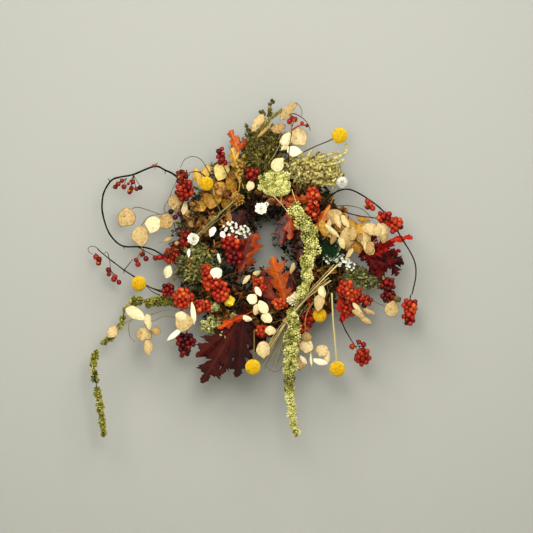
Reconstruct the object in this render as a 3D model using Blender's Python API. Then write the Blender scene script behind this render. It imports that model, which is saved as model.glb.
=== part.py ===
"""Harvest door wreath: a grapevine ring dressed with dried berries, seed pods, leaves and flower tassels.

Frame: +X to the right, +Z up, and the wreath faces -Y with its back against the wall plane y = 0.
The origin is where the nail touches the inside of the hanging loop's top.
Places are given in millimetres as (across, up, out): across and up from the ring's centre, out from the wall.
"""
import math

import bmesh
import bpy
from mathutils import Matrix, Vector

# Driving dimensions, in millimetres
RING_RADIUS = 108.0        # centre line of the grapevine base
RING_DROP = 185.0          # ring centre below the nail
BUNDLE_OUT = 34.0          # centre of the vine bundle, out from the wall
STRAND_COUNT = 4
STRAND_RADIUS = 8.5
STRAND_LAY = 13.6          # centre of a strand from the bundle's centre
STRAND_TWISTS = 3
BINDING_RADIUS = 2.6
BINDING_LAY = 27.2
BINDING_TURNS = 8
BAND_WIRE = 1.0            # radius of the hanger's wire
BAND_LAY = 32.0            # centre of the band's wire from the bundle's centre
EYE_RADIUS = 4.0           # the eye on top of the band
EYE_OUT = 10.0
LOOP_HALF_WIDTH = 12.0
LOOP_BOTTOM = -44.3        # height of the loop's lower wire from the nail
EYE_PLAY = 0.4             # clearance of the loop's wire in the eye
VINE_RADIUS = 1.6
TWIG_RADIUS = 1.1
BERRY_RADIUS = 4.4
BERRY_REACH = 4.1          # berry centre from its twig
CORE_RADIUS = 3.2          # the crowded middle of a full cluster
CORE_REACH = 4.9
POD_THICKNESS = 1.8
LEAF_THICKNESS = 1.4
STALK_RADIUS = 1.5
STALK_LENGTH = 11.0        # out of the blade, and again along its back

BARK = ((0.20, 0.13, 0.08), 0.85)
DARK_BARK = ((0.07, 0.055, 0.04), 0.8)
WIRE = ((0.25, 0.22, 0.18), 0.4)
RED_BERRY = ((0.62, 0.09, 0.03), 0.35)
DARK_BERRY = ((0.30, 0.03, 0.03), 0.4)
YELLOW = ((0.85, 0.62, 0.05), 0.9)
PALE_GREEN = ((0.62, 0.62, 0.34), 0.95)
OLIVE = ((0.40, 0.38, 0.12), 0.95)
CEDAR = ((0.25, 0.22, 0.09), 0.95)
CREAM = ((0.85, 0.76, 0.55), 0.5)
AMBER = ((0.72, 0.52, 0.20), 0.5)
WHITE = ((0.88, 0.86, 0.80), 0.8)
BURGUNDY = ((0.22, 0.02, 0.02), 0.55)
ORANGE_LEAF = ((0.60, 0.24, 0.05), 0.55)
STRAW = ((0.66, 0.55, 0.32), 0.7)

MM = 0.001
GOLDEN_ANGLE = math.radians(137.5)


def clear_scene():
    for thing in list(bpy.data.objects):
        bpy.data.objects.remove(thing)


def new_collection(name):
    collection = bpy.data.collections.new(name)
    bpy.context.scene.collection.children.link(collection)
    return collection


def place(across, up, out):
    """World position, in metres, of a place on the wreath."""
    return Vector((across, -out, up - RING_DROP)) * MM


def smooth_route(points, steps=2):
    """Points on a smooth curve through the given ones."""
    ends = [2 * points[0] - points[1]] + points + [2 * points[-1] - points[-2]]
    route = []
    for before, here, there, after in zip(ends, ends[1:], ends[2:], ends[3:]):
        for step in range(steps):
            t = step / steps
            route.append(0.5 * (2 * here + (there - before) * t
                                + (2 * before - 5 * here + 4 * there - after) * t * t
                                + (3 * here - before - 3 * there + after) * t ** 3))
    return route + [points[-1]]


def keep(obj):
    """Put a loose piece with the shapes that are still to be joined."""
    for collection in list(obj.users_collection):
        collection.objects.unlink(obj)
    loose.objects.link(obj)
    obj.hide_render = True
    obj.display_type = "WIRE"
    return obj


def mesh_of(curve_object):
    """Turn a curve object into a closed mesh with its caps welded."""
    bpy.context.view_layer.update()
    evaluated = curve_object.evaluated_get(bpy.context.evaluated_depsgraph_get())
    mesh = bpy.data.meshes.new_from_object(evaluated)
    work = bmesh.new()
    work.from_mesh(mesh)
    bmesh.ops.remove_doubles(work, verts=work.verts, dist=0.00001)
    bmesh.ops.recalc_face_normals(work, faces=work.faces)
    work.to_mesh(mesh)
    work.free()
    solid = bpy.data.objects.new(curve_object.name, mesh)
    solid.matrix_world = curve_object.matrix_world.copy()
    bpy.data.objects.remove(curve_object)
    return keep(solid)


def tube(route, radius, swell=None, closed=False, detail=1):
    """A round stem along a route of world points; swell gives the radius factor from start to end."""
    curve = bpy.data.curves.new("stem", "CURVE")
    curve.dimensions = "3D"
    curve.bevel_depth = radius * MM
    curve.bevel_resolution = detail
    curve.use_fill_caps = not closed
    spline = curve.splines.new("POLY")
    spline.points.add(len(route) - 1)
    for index, (point, here) in enumerate(zip(spline.points, route)):
        point.co = (*here, 1.0)
        point.radius = swell(index / (len(route) - 1)) if swell else 1.0
    spline.use_cyclic_u = closed
    return mesh_of(keep(bpy.data.objects.new("stem", curve)))


def stem(points, radius=VINE_RADIUS):
    """A stem through places on the wreath, a little thinner at its tip."""
    route = smooth_route([place(*point) for point in points])
    return tube(route, radius, lambda t: 1.0 - 0.3 * t, detail=0)


def ball(centre, radius, stretch=(1, 1, 1), detail=1):
    """A faceted round lump; stretch is given along X, Y and Z."""
    work = bmesh.new()
    bmesh.ops.create_icosphere(work, subdivisions=detail, radius=radius * MM)
    bmesh.ops.scale(work, vec=stretch, verts=work.verts)
    mesh = bpy.data.meshes.new("lump")
    work.to_mesh(mesh)
    work.free()
    lump = bpy.data.objects.new("lump", mesh)
    lump.location = centre
    return keep(lump)


def disc(centre, half_width, half_height, lean=0.0, turn=0.0):
    """A flat seed pod: an upright disc, leant by lean and turned about the vertical by turn, in degrees."""
    work = bmesh.new()
    bmesh.ops.create_cone(work, cap_ends=True, cap_tris=False, segments=8, radius1=MM, radius2=MM,
                          depth=POD_THICKNESS * MM)
    bmesh.ops.scale(work, vec=(half_width, half_height, 1), verts=work.verts)
    mesh = bpy.data.meshes.new("pod")
    work.to_mesh(mesh)
    work.free()
    pod = bpy.data.objects.new("pod", mesh)
    upright = Matrix.Rotation(math.radians(90), 4, "X")
    pod.matrix_world = (Matrix.Translation(centre) @ Matrix.Rotation(math.radians(turn), 4, "Z")
                        @ Matrix.Rotation(math.radians(lean), 4, "Y") @ upright)
    return keep(pod)


def leaf(base, tip, width, lobes=3, tilt=0.0):
    """A flat lobed leaf from its base to its tip, with its stalk; tilt rolls it about the midrib."""
    start, end = place(*base), place(*tip)
    length = (end - start).length
    outline = []
    samples = 3 * lobes + 3
    for side in (1, -1):
        order = range(samples + 1) if side > 0 else range(samples - 1, 0, -1)
        for index in order:
            t = index / samples
            lobe = 0.62 + 0.38 * math.cos(2 * math.pi * lobes * (t - 0.12))
            half = 0.5 * width * MM * math.sin(math.pi * t ** 0.8) ** 0.7 * lobe + 0.0008
            outline.append((side * half, t * length))
    curve = bpy.data.curves.new("leaf", "CURVE")
    curve.dimensions = "2D"
    curve.fill_mode = "BOTH"
    curve.extrude = 0.5 * LEAF_THICKNESS * MM
    spline = curve.splines.new("POLY")
    spline.points.add(len(outline) - 1)
    for point, (x, y) in zip(spline.points, outline):
        point.co = (x, y, 0, 1)
    spline.use_cyclic_u = True
    along = (end - start).normalized()
    across = along.cross(Vector((0, 1, 0))).normalized()
    facing = across.cross(along)
    turn = Matrix((across, along, facing)).transposed().to_4x4()
    blade = bpy.data.objects.new("leaf", curve)
    keep(blade)
    blade.matrix_world = (Matrix.Translation(start) @ turn
                          @ Matrix.Rotation(math.radians(tilt), 4, "Y"))
    stalk = tube([start - along * STALK_LENGTH * MM, start + along * STALK_LENGTH * MM], STALK_RADIUS,
                 detail=0)
    return [mesh_of(blade), stalk]


def pod_on_twig(branch, centre, half_width, half_height, lean=0.0, turn=0.0):
    """A seed pod and the short stalk that ties it to a place on its branch."""
    middle = place(*centre)
    return [disc(middle, half_width, half_height, lean, turn),
            tube([place(*branch), middle], TWIG_RADIUS, detail=0)]


def berry_twig(points, count, first=0.0, core=TWIG_RADIUS):
    """A twig with berries sitting round it from the share first of its length to its tip.

    core is the twig's radius: a full cluster has a thick one, for the crowded stalks in its middle."""
    route = smooth_route([place(*point) for point in points])
    reach = (BERRY_REACH if core < CORE_RADIUS else CORE_REACH) * MM
    pieces = [tube(route, core, lambda t: 1.0 - 0.2 * t, detail=0)]
    for index in range(count):
        t = first + (0.98 - first) * index / max(count - 1, 1)
        spot = t * (len(route) - 1)
        low = min(int(spot), len(route) - 2)
        here = route[low].lerp(route[low + 1], spot - low)
        along = (route[low + 1] - route[low]).normalized()
        side = along.cross(Vector((0.3, 1, 0.2))).normalized()
        offset = Matrix.Rotation(index * GOLDEN_ANGLE, 3, along) @ side
        berry = ball(here + offset * reach, BERRY_RADIUS)
        berry.rotation_mode = "QUATERNION"
        toward_twig = offset + 0.12 * along
        berry.rotation_quaternion = toward_twig.to_track_quat("Z", "Y")   # one corner meets the twig
        pieces.append(berry)
    return pieces


def join(name, pieces, finish):
    """Unite the loose pieces into one closed body, the sub-part of that name."""
    colour, roughness = finish
    first, *rest = pieces
    for piece in rest:
        union = first.modifiers.new("join", "BOOLEAN")
        union.operation = "UNION"
        union.solver = "EXACT"
        union.object = piece
    bpy.context.view_layer.update()
    evaluated = first.evaluated_get(bpy.context.evaluated_depsgraph_get())
    mesh = bpy.data.meshes.new_from_object(evaluated)
    mesh.transform(first.matrix_world)
    for piece in pieces:
        bpy.data.objects.remove(piece)
    part = bpy.data.objects.new(name, mesh)
    wreath.objects.link(part)
    material = bpy.data.materials.new(name)
    material.use_nodes = True
    shader = material.node_tree.nodes["Principled BSDF"]
    shader.inputs["Base Color"].default_value = (*colour, 1.0)
    shader.inputs["Roughness"].default_value = roughness
    shader.inputs["Metallic"].default_value = 0.9 if finish is WIRE else 0.0
    mesh.materials.clear()
    mesh.materials.append(material)
    mesh.shade_smooth()
    mesh.set_sharp_from_angle(angle=math.radians(40))
    return part


def on_pivot(name, pivot):
    """Move a part's origin to its joint without moving its shape."""
    part = wreath.objects[name]
    part.data.transform(Matrix.Translation(-pivot))
    part.location = pivot


# ---------------------------------------------------------------- grapevine base and hanger

def bundle_point(ring_angle, lay, lay_angle):
    """A point at a given lay round the bundle's centre line."""
    outward = Vector((math.cos(ring_angle), 0, math.sin(ring_angle)))
    centre = Vector((0, -BUNDLE_OUT, -RING_DROP)) + outward * RING_RADIUS
    return (centre + lay * (math.cos(lay_angle) * outward + math.sin(lay_angle) * Vector((0, 1, 0)))) * MM


def grapevine_base():
    around = 32
    for strand in range(STRAND_COUNT):
        start = strand * 2 * math.pi / STRAND_COUNT
        route = [bundle_point(2 * math.pi * k / around, STRAND_LAY,
                              start + STRAND_TWISTS * 2 * math.pi * k / around) for k in range(around)]
        join(f"base_strand_{strand + 1}", [tube(route, STRAND_RADIUS, closed=True, detail=1)], BARK)
    around = 8 * BINDING_TURNS
    route = [bundle_point(2 * math.pi * (k + 2) / around, BINDING_LAY,
                          -BINDING_TURNS * 2 * math.pi * (k + 2) / around) for k in range(around)]
    join("binding_vine", [tube(route, BINDING_RADIUS, closed=True, detail=0)], DARK_BARK)


def hanger():
    band_centre = Vector((0, -BUNDLE_OUT, RING_RADIUS - RING_DROP))
    band = [(band_centre + BAND_LAY * Vector((0, math.cos(a), math.sin(a)))) * MM
            for a in (2 * math.pi * k / 24 for k in range(24))]
    eye_height = LOOP_BOTTOM - (EYE_RADIUS - 2 * BAND_WIRE - EYE_PLAY)
    eye_centre = Vector((0, -EYE_OUT, eye_height))
    eye = [(eye_centre + EYE_RADIUS * Vector((0, math.cos(a), math.sin(a)))) * MM
           for a in (2 * math.pi * k / 12 for k in range(12))]
    foot = band_centre + BAND_LAY * Vector((0, math.cos(math.radians(47)), math.sin(math.radians(47))))
    twist = [foot * MM, (eye_centre + Vector((0, -0.4, -EYE_RADIUS))) * MM]
    join("hanger_band", [tube(band, BAND_WIRE, closed=True, detail=0),
                         tube(eye, BAND_WIRE, closed=True, detail=0),
                                     tube(twist, 1.5 * BAND_WIRE)], WIRE)
    top = BAND_WIRE
    middle = 0.5 * (top + LOOP_BOTTOM)
    half_height = 0.5 * (top - LOOP_BOTTOM)
    loop = []
    for k in range(20):
        a = 2 * math.pi * k / 20
        loop.append(Vector((LOOP_HALF_WIDTH * math.cos(a), -EYE_OUT,
                            middle + half_height * math.sin(a))) * MM)
    join("hanger_loop", [tube(loop, BAND_WIRE, closed=True)], WIRE)


# ---------------------------------------------------------------- berry vines

def berry_vines():
    full = CORE_RADIUS
    join("left_loop_vine",
         [stem([(-120, 88, 50), (-147, 115, 58), (-182, 133, 60), (-216, 118, 60), (-250, 110, 58),
                (-262, 91, 56), (-266, 59, 54),
                (-258, 30, 54), (-235, 6, 54), (-205, 2, 54), (-182, -3, 52), (-163, -14, 50),
                (-146, -16, 48)]),
          *berry_twig([(-216, 118, 60), (-219, 104, 60), (-238, 102, 60)], 3, 0.5),
          *berry_twig([(-218, 117, 60), (-211, 96, 61)], 2, 0.6),
          *berry_twig([(-205, 3, 54), (-202, -21, 53)], 1, 0.9),
          *berry_twig([(-186, -2, 53), (-176, -19, 53)], 1, 0.9),
          *berry_twig([(-165, -13, 50), (-154, -24, 50)], 2, 0.3), ball(place(-182, 133, 60), 5.5)],
          DARK_BARK)
    join("lower_left_vine",
         [stem([(-154, -77, 44), (-182, -70, 46), (-208, -51, 46), (-232, -37, 46), (-256, -19, 46),
                (-275, -5, 44), (-288, 2, 42)]),
          stem([(-232, -37, 46), (-219, -19, 48)], TWIG_RADIUS),
          *berry_twig([(-277, -3, 44), (-274, -22, 44)], 2, 0.6),
          *berry_twig([(-258, -18, 46), (-248, -53, 46)], 4, 0.4)], DARK_BARK)
    join("upper_left_berry_vine",
         [stem([(-86, 98, 78), (-90, 118, 80), (-106, 144, 82), (-120, 146, 82), (-134, 139, 82),
                (-138, 123, 84)], TWIG_RADIUS),
          *berry_twig([(-138, 125, 84), (-130, 99, 86), (-134, 75, 86)], 7, 0.0, full),
          *berry_twig([(-134, 77, 86), (-144, 54, 86), (-136, 32, 84), (-131, 14, 82)], 5, 0.3)], RED_BERRY)
    join("top_left_berries", berry_twig([(-62, 112, 92), (-72, 134, 94), (-75, 157, 94)], 5, 0.4),
         RED_BERRY)
    join("top_right_berries",
         [stem([(32, 134, 103), (35, 160, 104), (40, 179, 105)]),
          stem([(46, 206, 105), (51, 224, 103), (42, 230, 101)], TWIG_RADIUS),
          *berry_twig([(38, 176, 105), (46, 208, 105)], 4, 0.2),
          *berry_twig([(35, 160, 104), (59, 194, 105)], 3, 0.5),
          *berry_twig([(38, 176, 105), (30, 202, 105)], 2, 0.5)], RED_BERRY)
    join("right_arc_vine",
         [stem([(80, 53, 104), (99, 82, 106), (125, 93, 108), (155, 80, 104), (187, 54, 100), (214, 13, 98),
                (232, -18, 90), (235, -45, 82), (229, -66, 78)]),
          *berry_twig([(93, 74, 106), (117, 59, 102), (144, 51, 100), (176, 50, 100), (205, 35, 100)], 6,
                      0.74),
          *berry_twig([(155, 80, 104), (163, 64, 104)], 1, 0.9)], DARK_BARK)
    join("right_hanging_berries",
         [stem([(226, -73, 78), (226, -83, 78)]),
          *berry_twig([(226, -80, 78), (226, -122, 78)], 8, 0.05, full)], RED_BERRY)
    join("right_dark_berries",
         [stem([(181, -38, 72), (189, -59, 74)]),
          *berry_twig([(187, -56, 74), (197, -77, 74)], 5, 0.0, full)], DARK_BERRY)
    join("right_centre_berries",
         [stem([(106, -80, 90), (120, -77, 92)]), stem([(118, -83, 92), (125, -118, 88), (141, -138, 88)]),
          *berry_twig([(117, -78, 92), (141, -66, 94)], 4, 0.1, full),
          *berry_twig([(117, -80, 92), (126, -102, 94)], 3, 0.3),
          *berry_twig([(120, -75, 92), (125, -56, 94)], 2, 0.6)], RED_BERRY)
    join("lower_right_berries",
         [stem([(147, -145, 88), (147, -157, 88)]),
          *berry_twig([(147, -152, 88), (147, -184, 88)], 6, 0.05, full)], RED_BERRY)
    join("inner_lower_berries",
         [stem([(0, -102, 95), (32, -118, 94), (64, -114, 92)]),
          *berry_twig([(64, -86, 92), (64, -112, 92), (66, -139, 92)], 7),
          *berry_twig([(-11, -82, 94), (3, -106, 95)], 5)], RED_BERRY)
    join("centre_top_berries", berry_twig([(72, 46, 92), (70, 69, 94), (74, 93, 94)], 8, 0.1, full),
         RED_BERRY)
    join("centre_left_berries",
         [*berry_twig([(-74, 3, 92), (-56, -3, 94), (-40, -14, 94)], 5, 0.0, full),
          *berry_twig([(-56, -3, 94), (-51, -22, 94)], 2, 0.6)], RED_BERRY)
    join("left_mass_berries",
         [*berry_twig([(-112, -93, 80), (-130, -90, 81), (-146, -77, 82)], 6, 0.0, full),
          *berry_twig([(-128, -90, 81), (-130, -70, 82)], 3, 0.4),
          *berry_twig([(-131, -90, 81), (-139, -104, 82)], 2, 0.5)], RED_BERRY)
    join("left_mid_berries",
         [*berry_twig([(-96, -45, 92), (-83, -61, 93), (-74, -82, 93)], 8, 0.0, full),
          stem([(-83, -61, 93), (-69, -50, 92), (-45, -40, 90), (-11, -37, 88), (13, -42, 86),
                (35, -48, 84)], TWIG_RADIUS)],
         RED_BERRY)
    join("left_hanging_berries",
         [stem([(-131, -133, 70), (-131, -144, 70)]),
          *berry_twig([(-131, -139, 70), (-131, -171, 70)], 7, 0.05, full)], DARK_BERRY)


# ---------------------------------------------------------------- billy buttons

def billy_button(name, route, radius):
    join(name, [stem(route, 1.3), ball(place(*route[-1]), radius, detail=2)], YELLOW)


def billy_buttons():
    billy_button("billy_button_top_right", [(56, 131, 100), (77, 162, 98), (96, 174, 94), (115, 179, 90)],
                 12.3)
    billy_button("billy_button_upper_left", [(-74, 54, 82), (-86, 80, 88), (-98, 102, 97)], 11.0)
    billy_button("billy_button_left", [(-155, -67, 68), (-179, -64, 67), (-207, -58, 66)], 11.8)
    billy_button("billy_button_bottom", [(-22, -131, 110), (-22, -160, 108), (-24, -189, 104)], 12.0)
    billy_button("billy_button_lower_right", [(98, -72, 116), (102, -115, 114), (107, -155, 108),
                                              (110, -192, 102)], 12.2)
    billy_button("billy_button_inner_right", [(70, -67, 104), (78, -86, 102), (82, -107, 98)], 11.0)


# ---------------------------------------------------------------- amaranthus

def rope(name, points, radius, swell, finish):
    """A thick soft tassel along a route of places."""
    route = smooth_route([place(*point) for point in points])
    return join(name, [tube(route, radius, swell, detail=2)], finish)


def amaranthus():
    rope("front_tassel_upper",
         [(43, 58, 126), (54, 37, 128), (66, 8, 130), (66, -18, 131), (62, -42, 131), (54, -67, 130),
          (46, -86, 129)],
         15.0, lambda t: 0.55 + 0.45 * math.sin(math.pi * min(t * 1.2, 0.5)) - 0.25 * t, PALE_GREEN)
    rope("front_tassel_lower",
         [(37, -98, 128), (38, -107, 128), (42, -125, 128), (37, -150, 128), (35, -173, 128),
          (34, -208, 128), (35, -237, 128), (37, -262, 128),
          (42, -282, 128), (48, -293, 128)],
         11.5, lambda t: 0.14 if t < 0.03 else (0.85 - 0.35 * t), PALE_GREEN)
    rope("left_tassel_upper",
         [(-160, -86, 64), (-178, -80, 65), (-194, -82, 66), (-216, -86, 66), (-230, -101, 66),
          (-238, -123, 66), (-256, -144, 66), (-267, -152, 66)],
         7.6, lambda t: 0.7 + 0.3 * math.sin(math.pi * min(t * 1.5, 0.5)) - 0.1 * t, OLIVE)
    rope("left_tassel_lower",
         [(-273, -160, 66), (-275, -166, 66), (-280, -182, 66), (-278, -202, 66), (-275, -227, 66),
          (-270, -246, 66), (-266, -274, 66), (-262, -299, 66)],
         7.4, lambda t: 0.16 if t < 0.03 else (1.0 - 0.45 * t), OLIVE)
    head = [ball(place(-3, 99, 92), 15, (1.0, 0.52, 0.9), 2),
            ball(place(21, 102, 92), 15, (1.0, 0.52, 0.9), 2),
            ball(place(10, 120, 92), 14, (1.0, 0.52, 0.9), 2), stem([(11, 99, 88), (19, 72, 82)])]
    join("pale_amaranth_head", head, PALE_GREEN)
    plume = [ball(place(51, 122, 74), 16, (1.1, 0.5, 1.2), 2),
             ball(place(80, 133, 74), 15, (1.2, 0.5, 1.0), 2),
             ball(place(104, 122, 74), 14, (1.4, 0.5, 1.0), 2),
             stem([(48, 93, 72), (70, 128, 74), (112, 152, 74)])]
    join("plume_spray", plume, OLIVE)


# ---------------------------------------------------------------- herb, cedar and moss

def clump(name, lumps, finish, stems=()):
    """A soft bushy mass of overlapping lumps: each is a place, a radius and its stretch across and up."""
    pieces = [ball(place(*spot), radius, (wide, 0.5, tall), 2) for spot, radius, wide, tall in lumps]
    join(name, pieces + [stem(route) for route in stems], finish)


def greenery():
    clump("cedar_clump", [((-30, 114, 74), 15, 1.1, 1.3), ((-8, 141, 74), 17, 1.2, 1.3)],
          CEDAR, [[(-6, 141, 74), (3, 197, 74), (6, 235, 74)],
                  [(-22, 149, 74), (-10, 189, 74), (-10, 218, 74)]])
    clump("pine_tuft", [((98, 2, 92), 14, 1.2, 0.9), ((104, 19, 92), 12, 1.0, 0.9)], CEDAR,
          [[(80, -22, 90), (98, 3, 92)]])
    clump("right_moss", [((139, -42, 72), 14, 1.1, 0.8), ((160, -50, 72), 14, 1.1, 1.0)], OLIVE)
    clump("left_moss", [((-115, -6, 72), 15, 1.1, 1.1), ((-93, -22, 72), 15, 1.0, 1.3),
                        ((-115, -38, 72), 14, 1.1, 1.0)], OLIVE)
    clump("lower_left_moss", [((-90, -125, 72), 12, 1.0, 0.9), ((-75, -134, 72), 12, 1.0, 0.9)], OLIVE)


# ---------------------------------------------------------------- seed pods

def seed_pods():
    join("left_pods",
         [stem([(-125, 35, 70), (-147, 58, 71), (-186, 58, 72), (-221, 54, 72)]),
          *pod_on_twig((-211, 56, 72), (-226, 48, 72), 14.5, 14, 10, 6),
          *pod_on_twig((-186, 58, 72), (-203, 21, 72), 14.5, 14.5, -8, -5),
          *pod_on_twig((-179, 58, 72), (-182, 35, 74), 11, 11, 15, 10),
          *pod_on_twig((-160, 59, 71), (-163, 43, 74), 12, 12, -20, -8),
          *pod_on_twig((-141, 51, 71), (-152, 72, 71), 10, 13, 15, 5)], CREAM)
    join("top_pods",
         [stem([(27, 144, 88), (26, 173, 89), (22, 198, 90), (29, 218, 90)]),
          *pod_on_twig((22, 198, 90), (34, 221, 91), 11, 14, 25, 8),
          *pod_on_twig((26, 176, 89), (46, 178, 90), 13, 13.5, -10, -5),
          *pod_on_twig((24, 186, 90), (11, 187, 90), 12, 12, 10, 5),
          *pod_on_twig((22, 192, 90), (-13, 203, 90), 10, 15, 25, -6),
          *pod_on_twig((27, 157, 88), (43, 152, 88), 12, 11, 5, 5)], CREAM)
    join("amber_pods",
         [stem([(-74, 67, 68), (-70, 96, 69), (-62, 122, 70), (-51, 134, 70)]),
          *pod_on_twig((-70, 93, 69), (-91, 83, 70), 15, 15, 10, 5),
          *pod_on_twig((-67, 106, 69), (-101, 120, 69), 13, 14, -15, -5),
          *pod_on_twig((-64, 115, 70), (-69, 128, 72), 13, 14, 20, 6),
          *pod_on_twig((-66, 112, 70), (-56, 96, 71), 11, 15, -20, 5)],
         AMBER)
    join("lower_left_pods",
         [stem([(-115, -118, 88), (-141, -118, 87), (-165, -115, 86), (-189, -117, 86), (-211, -107, 86),
                (-234, -122, 86)]),
          *pod_on_twig((-202, -110, 86), (-214, -102, 86), 14, 10, 15, 5),
          *pod_on_twig((-186, -115, 86), (-189, -120, 87), 12, 11, 20, 5),
          *pod_on_twig((-186, -117, 86), (-197, -136, 86), 12, 10, -20, 6),
          *pod_on_twig((-189, -122, 86), (-187, -155, 86), 7, 11, 8, 5),
          *pod_on_twig((-230, -120, 86), (-248, -134, 86), 7, 10, 35, 5),
          *pod_on_twig((-138, -118, 87), (-133, -117, 90), 13, 12, 12, 6),
          *pod_on_twig((-147, -118, 87), (-150, -139, 87), 12, 6, -30, 4)], CREAM)
    join("centre_pods",
         [stem([(-35, -77, 112), (-22, -93, 113), (0, -118, 112)]),
          *pod_on_twig((-26, -90, 113), (-26, -82, 113), 11, 10, 30, 5),
          *pod_on_twig((-16, -99, 113), (-6, -93, 114), 8, 13, -25, 5),
          *pod_on_twig((-10, -107, 113), (-3, -112, 114), 11, 9, 20, 5),
          *pod_on_twig((-19, -96, 113), (-30, -112, 112), 10, 7, -20, 5)], CREAM)
    join("lower_right_pods",
         [stem([(80, -77, 116), (62, -93, 116), (59, -131, 112), (67, -157, 104), (83, -170, 94)]),
          *pod_on_twig((64, -154, 106), (54, -160, 100), 10, 11, 10, 5),
          *pod_on_twig((82, -168, 95), (86, -165, 94), 13, 8, -30, 5),
          *pod_on_twig((80, -166, 96), (85, -181, 94), 12, 7, 25, -5),
          *pod_on_twig((74, -82, 116), (83, -82, 117), 10, 12, 15, 5)], CREAM)
    join("right_pods",
         [stem([(86, 13, 108), (106, 26, 109), (134, 16, 109), (157, 3, 108), (173, 19, 108)]),
          *pod_on_twig((94, 19, 108), (94, 34, 109), 5, 12, 8, 5),
          *pod_on_twig((106, 26, 109), (109, 42, 110), 11, 12, -15, 5),
          *pod_on_twig((125, 19, 109), (128, 22, 110), 12, 10, 20, -5),
          *pod_on_twig((154, 6, 108), (158, 0, 109), 11, 10, 10, 5),
          *pod_on_twig((170, 16, 108), (171, 29, 109), 9, 9, -10, 5)], CREAM)
    join("right_low_pods",
         [stem([(150, -54, 104), (163, -80, 104), (179, -90, 102), (192, -93, 99)]),
          *pod_on_twig((186, -91, 101), (197, -98, 98), 12.5, 12, 10, 5),
          *pod_on_twig((158, -75, 104), (149, -107, 108), 12, 9, 35, 5)],
         CREAM)


# ---------------------------------------------------------------- white flowers

def flower_head(spot, radius):
    return ball(place(*spot), radius, (1, 0.6, 1), 2 if radius > 8 else 1)


def white_flowers():
    join("strawflower", [flower_head((-11, 64, 108), 9.5), stem([(10, 77, 107), (-11, 64, 108)], 1.4)],
         WHITE)
    join("fuzzy_white_flower", [flower_head((118, 104, 92), 11),
                                stem([(99, 77, 88), (109, 93, 90), (118, 102, 92)], 1.4)], WHITE)
    sticks = [[(-122, 13, 99), (-86, 42, 101), (-48, 77, 102)],
              [(-115, 19, 97), (-86, 35, 101), (-51, 67, 98)]]
    join("daisy_and_stick_bunch",
         [flower_head((-118, 14, 98), 10.5), flower_head((-88, 27, 102), 6.5),
          flower_head((-69, 26, 104), 5),
          flower_head((-48, 35, 104), 13), flower_head((-35, 27, 104), 9)]
         + [stem(route, 1.5) for route in sticks] + [stem([(-88, 27, 102), (-67, 29, 104), (-48, 35, 104)],
                                                          1.6)], WHITE)
    join("white_statice_right",
         [flower_head((99, -19, 90), 7), flower_head((115, -22, 90), 8), flower_head((128, -29, 90), 6),
          stem([(83, -26, 90), (112, -22, 90), (131, -30, 90)], 1.6)], WHITE)


# ---------------------------------------------------------------- oak leaves and straw

def oak_leaves():
    join("top_oak_leaf", leaf((-46, 131, 83), (-61, 184, 85), 24, 2, 8), ORANGE_LEAF)
    join("lower_oak_leaves",
         [*leaf((-45, -112, 86), (-110, -205, 88), 50, 3, 8),
          *leaf((-42, -112, 85), (-45, -213, 88), 44, 3, -8),
          stem([(-32, -102, 85), (-43, -112, 86), (-51, -125, 86)], 2)], BURGUNDY)
    join("inner_left_oak_leaf", leaf((-40, -45, 73), (-21, 22, 76), 20, 2, 6), ORANGE_LEAF)
    join("inner_lower_oak_leaf", leaf((32, -83, 72), (-10, -42, 76), 26, 3, -6), ORANGE_LEAF)
    join("inner_right_oak_leaf", leaf((45, 80, 73), (29, -6, 77), 26, 3, 10), ORANGE_LEAF)
    join("right_oak_leaves",
         [*leaf((134, -6, 87), (224, 16, 89), 42, 3, 8), *leaf((134, -10, 86), (202, -46, 88), 42, 3, -8),
          stem([(125, -3, 86), (136, -8, 86), (147, -6, 87)], 2)], BURGUNDY)


def straw():
    stalks = [[(46, -80, 106), (29, -112, 106), (6, -150, 105), (-6, -176, 104)],
              [(51, -83, 108), (32, -118, 107), (13, -154, 105), (3, -182, 103)]]
    join("straw_bundle", [stem(route, 1.5) for route in stalks] + [ball(place(30, -115, 106), 5)], STRAW)


# ---------------------------------------------------------------- joints

def joints():
    """Put each swinging part's origin where it hangs, and all but the nail's loop under the lean's axis."""
    on_pivot("front_tassel_lower", place(37.3, -95, 128))
    on_pivot("left_tassel_lower", place(-274, -157, 66))
    on_pivot("right_hanging_berries", place(226, -71.5, 78))
    on_pivot("lower_right_berries", place(147.5, -143.5, 88))
    on_pivot("left_hanging_berries", place(-130.9, -131.5, 70))
    axis = bpy.data.objects.new("lean_out_axis", None)
    axis.empty_display_size = LOOP_HALF_WIDTH * MM
    axis.location = Vector((0, -EYE_OUT, LOOP_BOTTOM)) * MM
    wreath.objects.link(axis)
    bpy.context.view_layer.update()
    for part in wreath.objects:
        if part.type == "MESH" and part.name != "hanger_loop":
            part.parent = axis
            part.matrix_parent_inverse = axis.matrix_world.inverted()


clear_scene()
wreath = new_collection("harvest_door_wreath")
loose = new_collection("loose_shapes")
grapevine_base()
hanger()
berry_vines()
billy_buttons()
amaranthus()
greenery()
seed_pods()
white_flowers()
oak_leaves()
straw()
joints()
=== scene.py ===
import math

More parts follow.
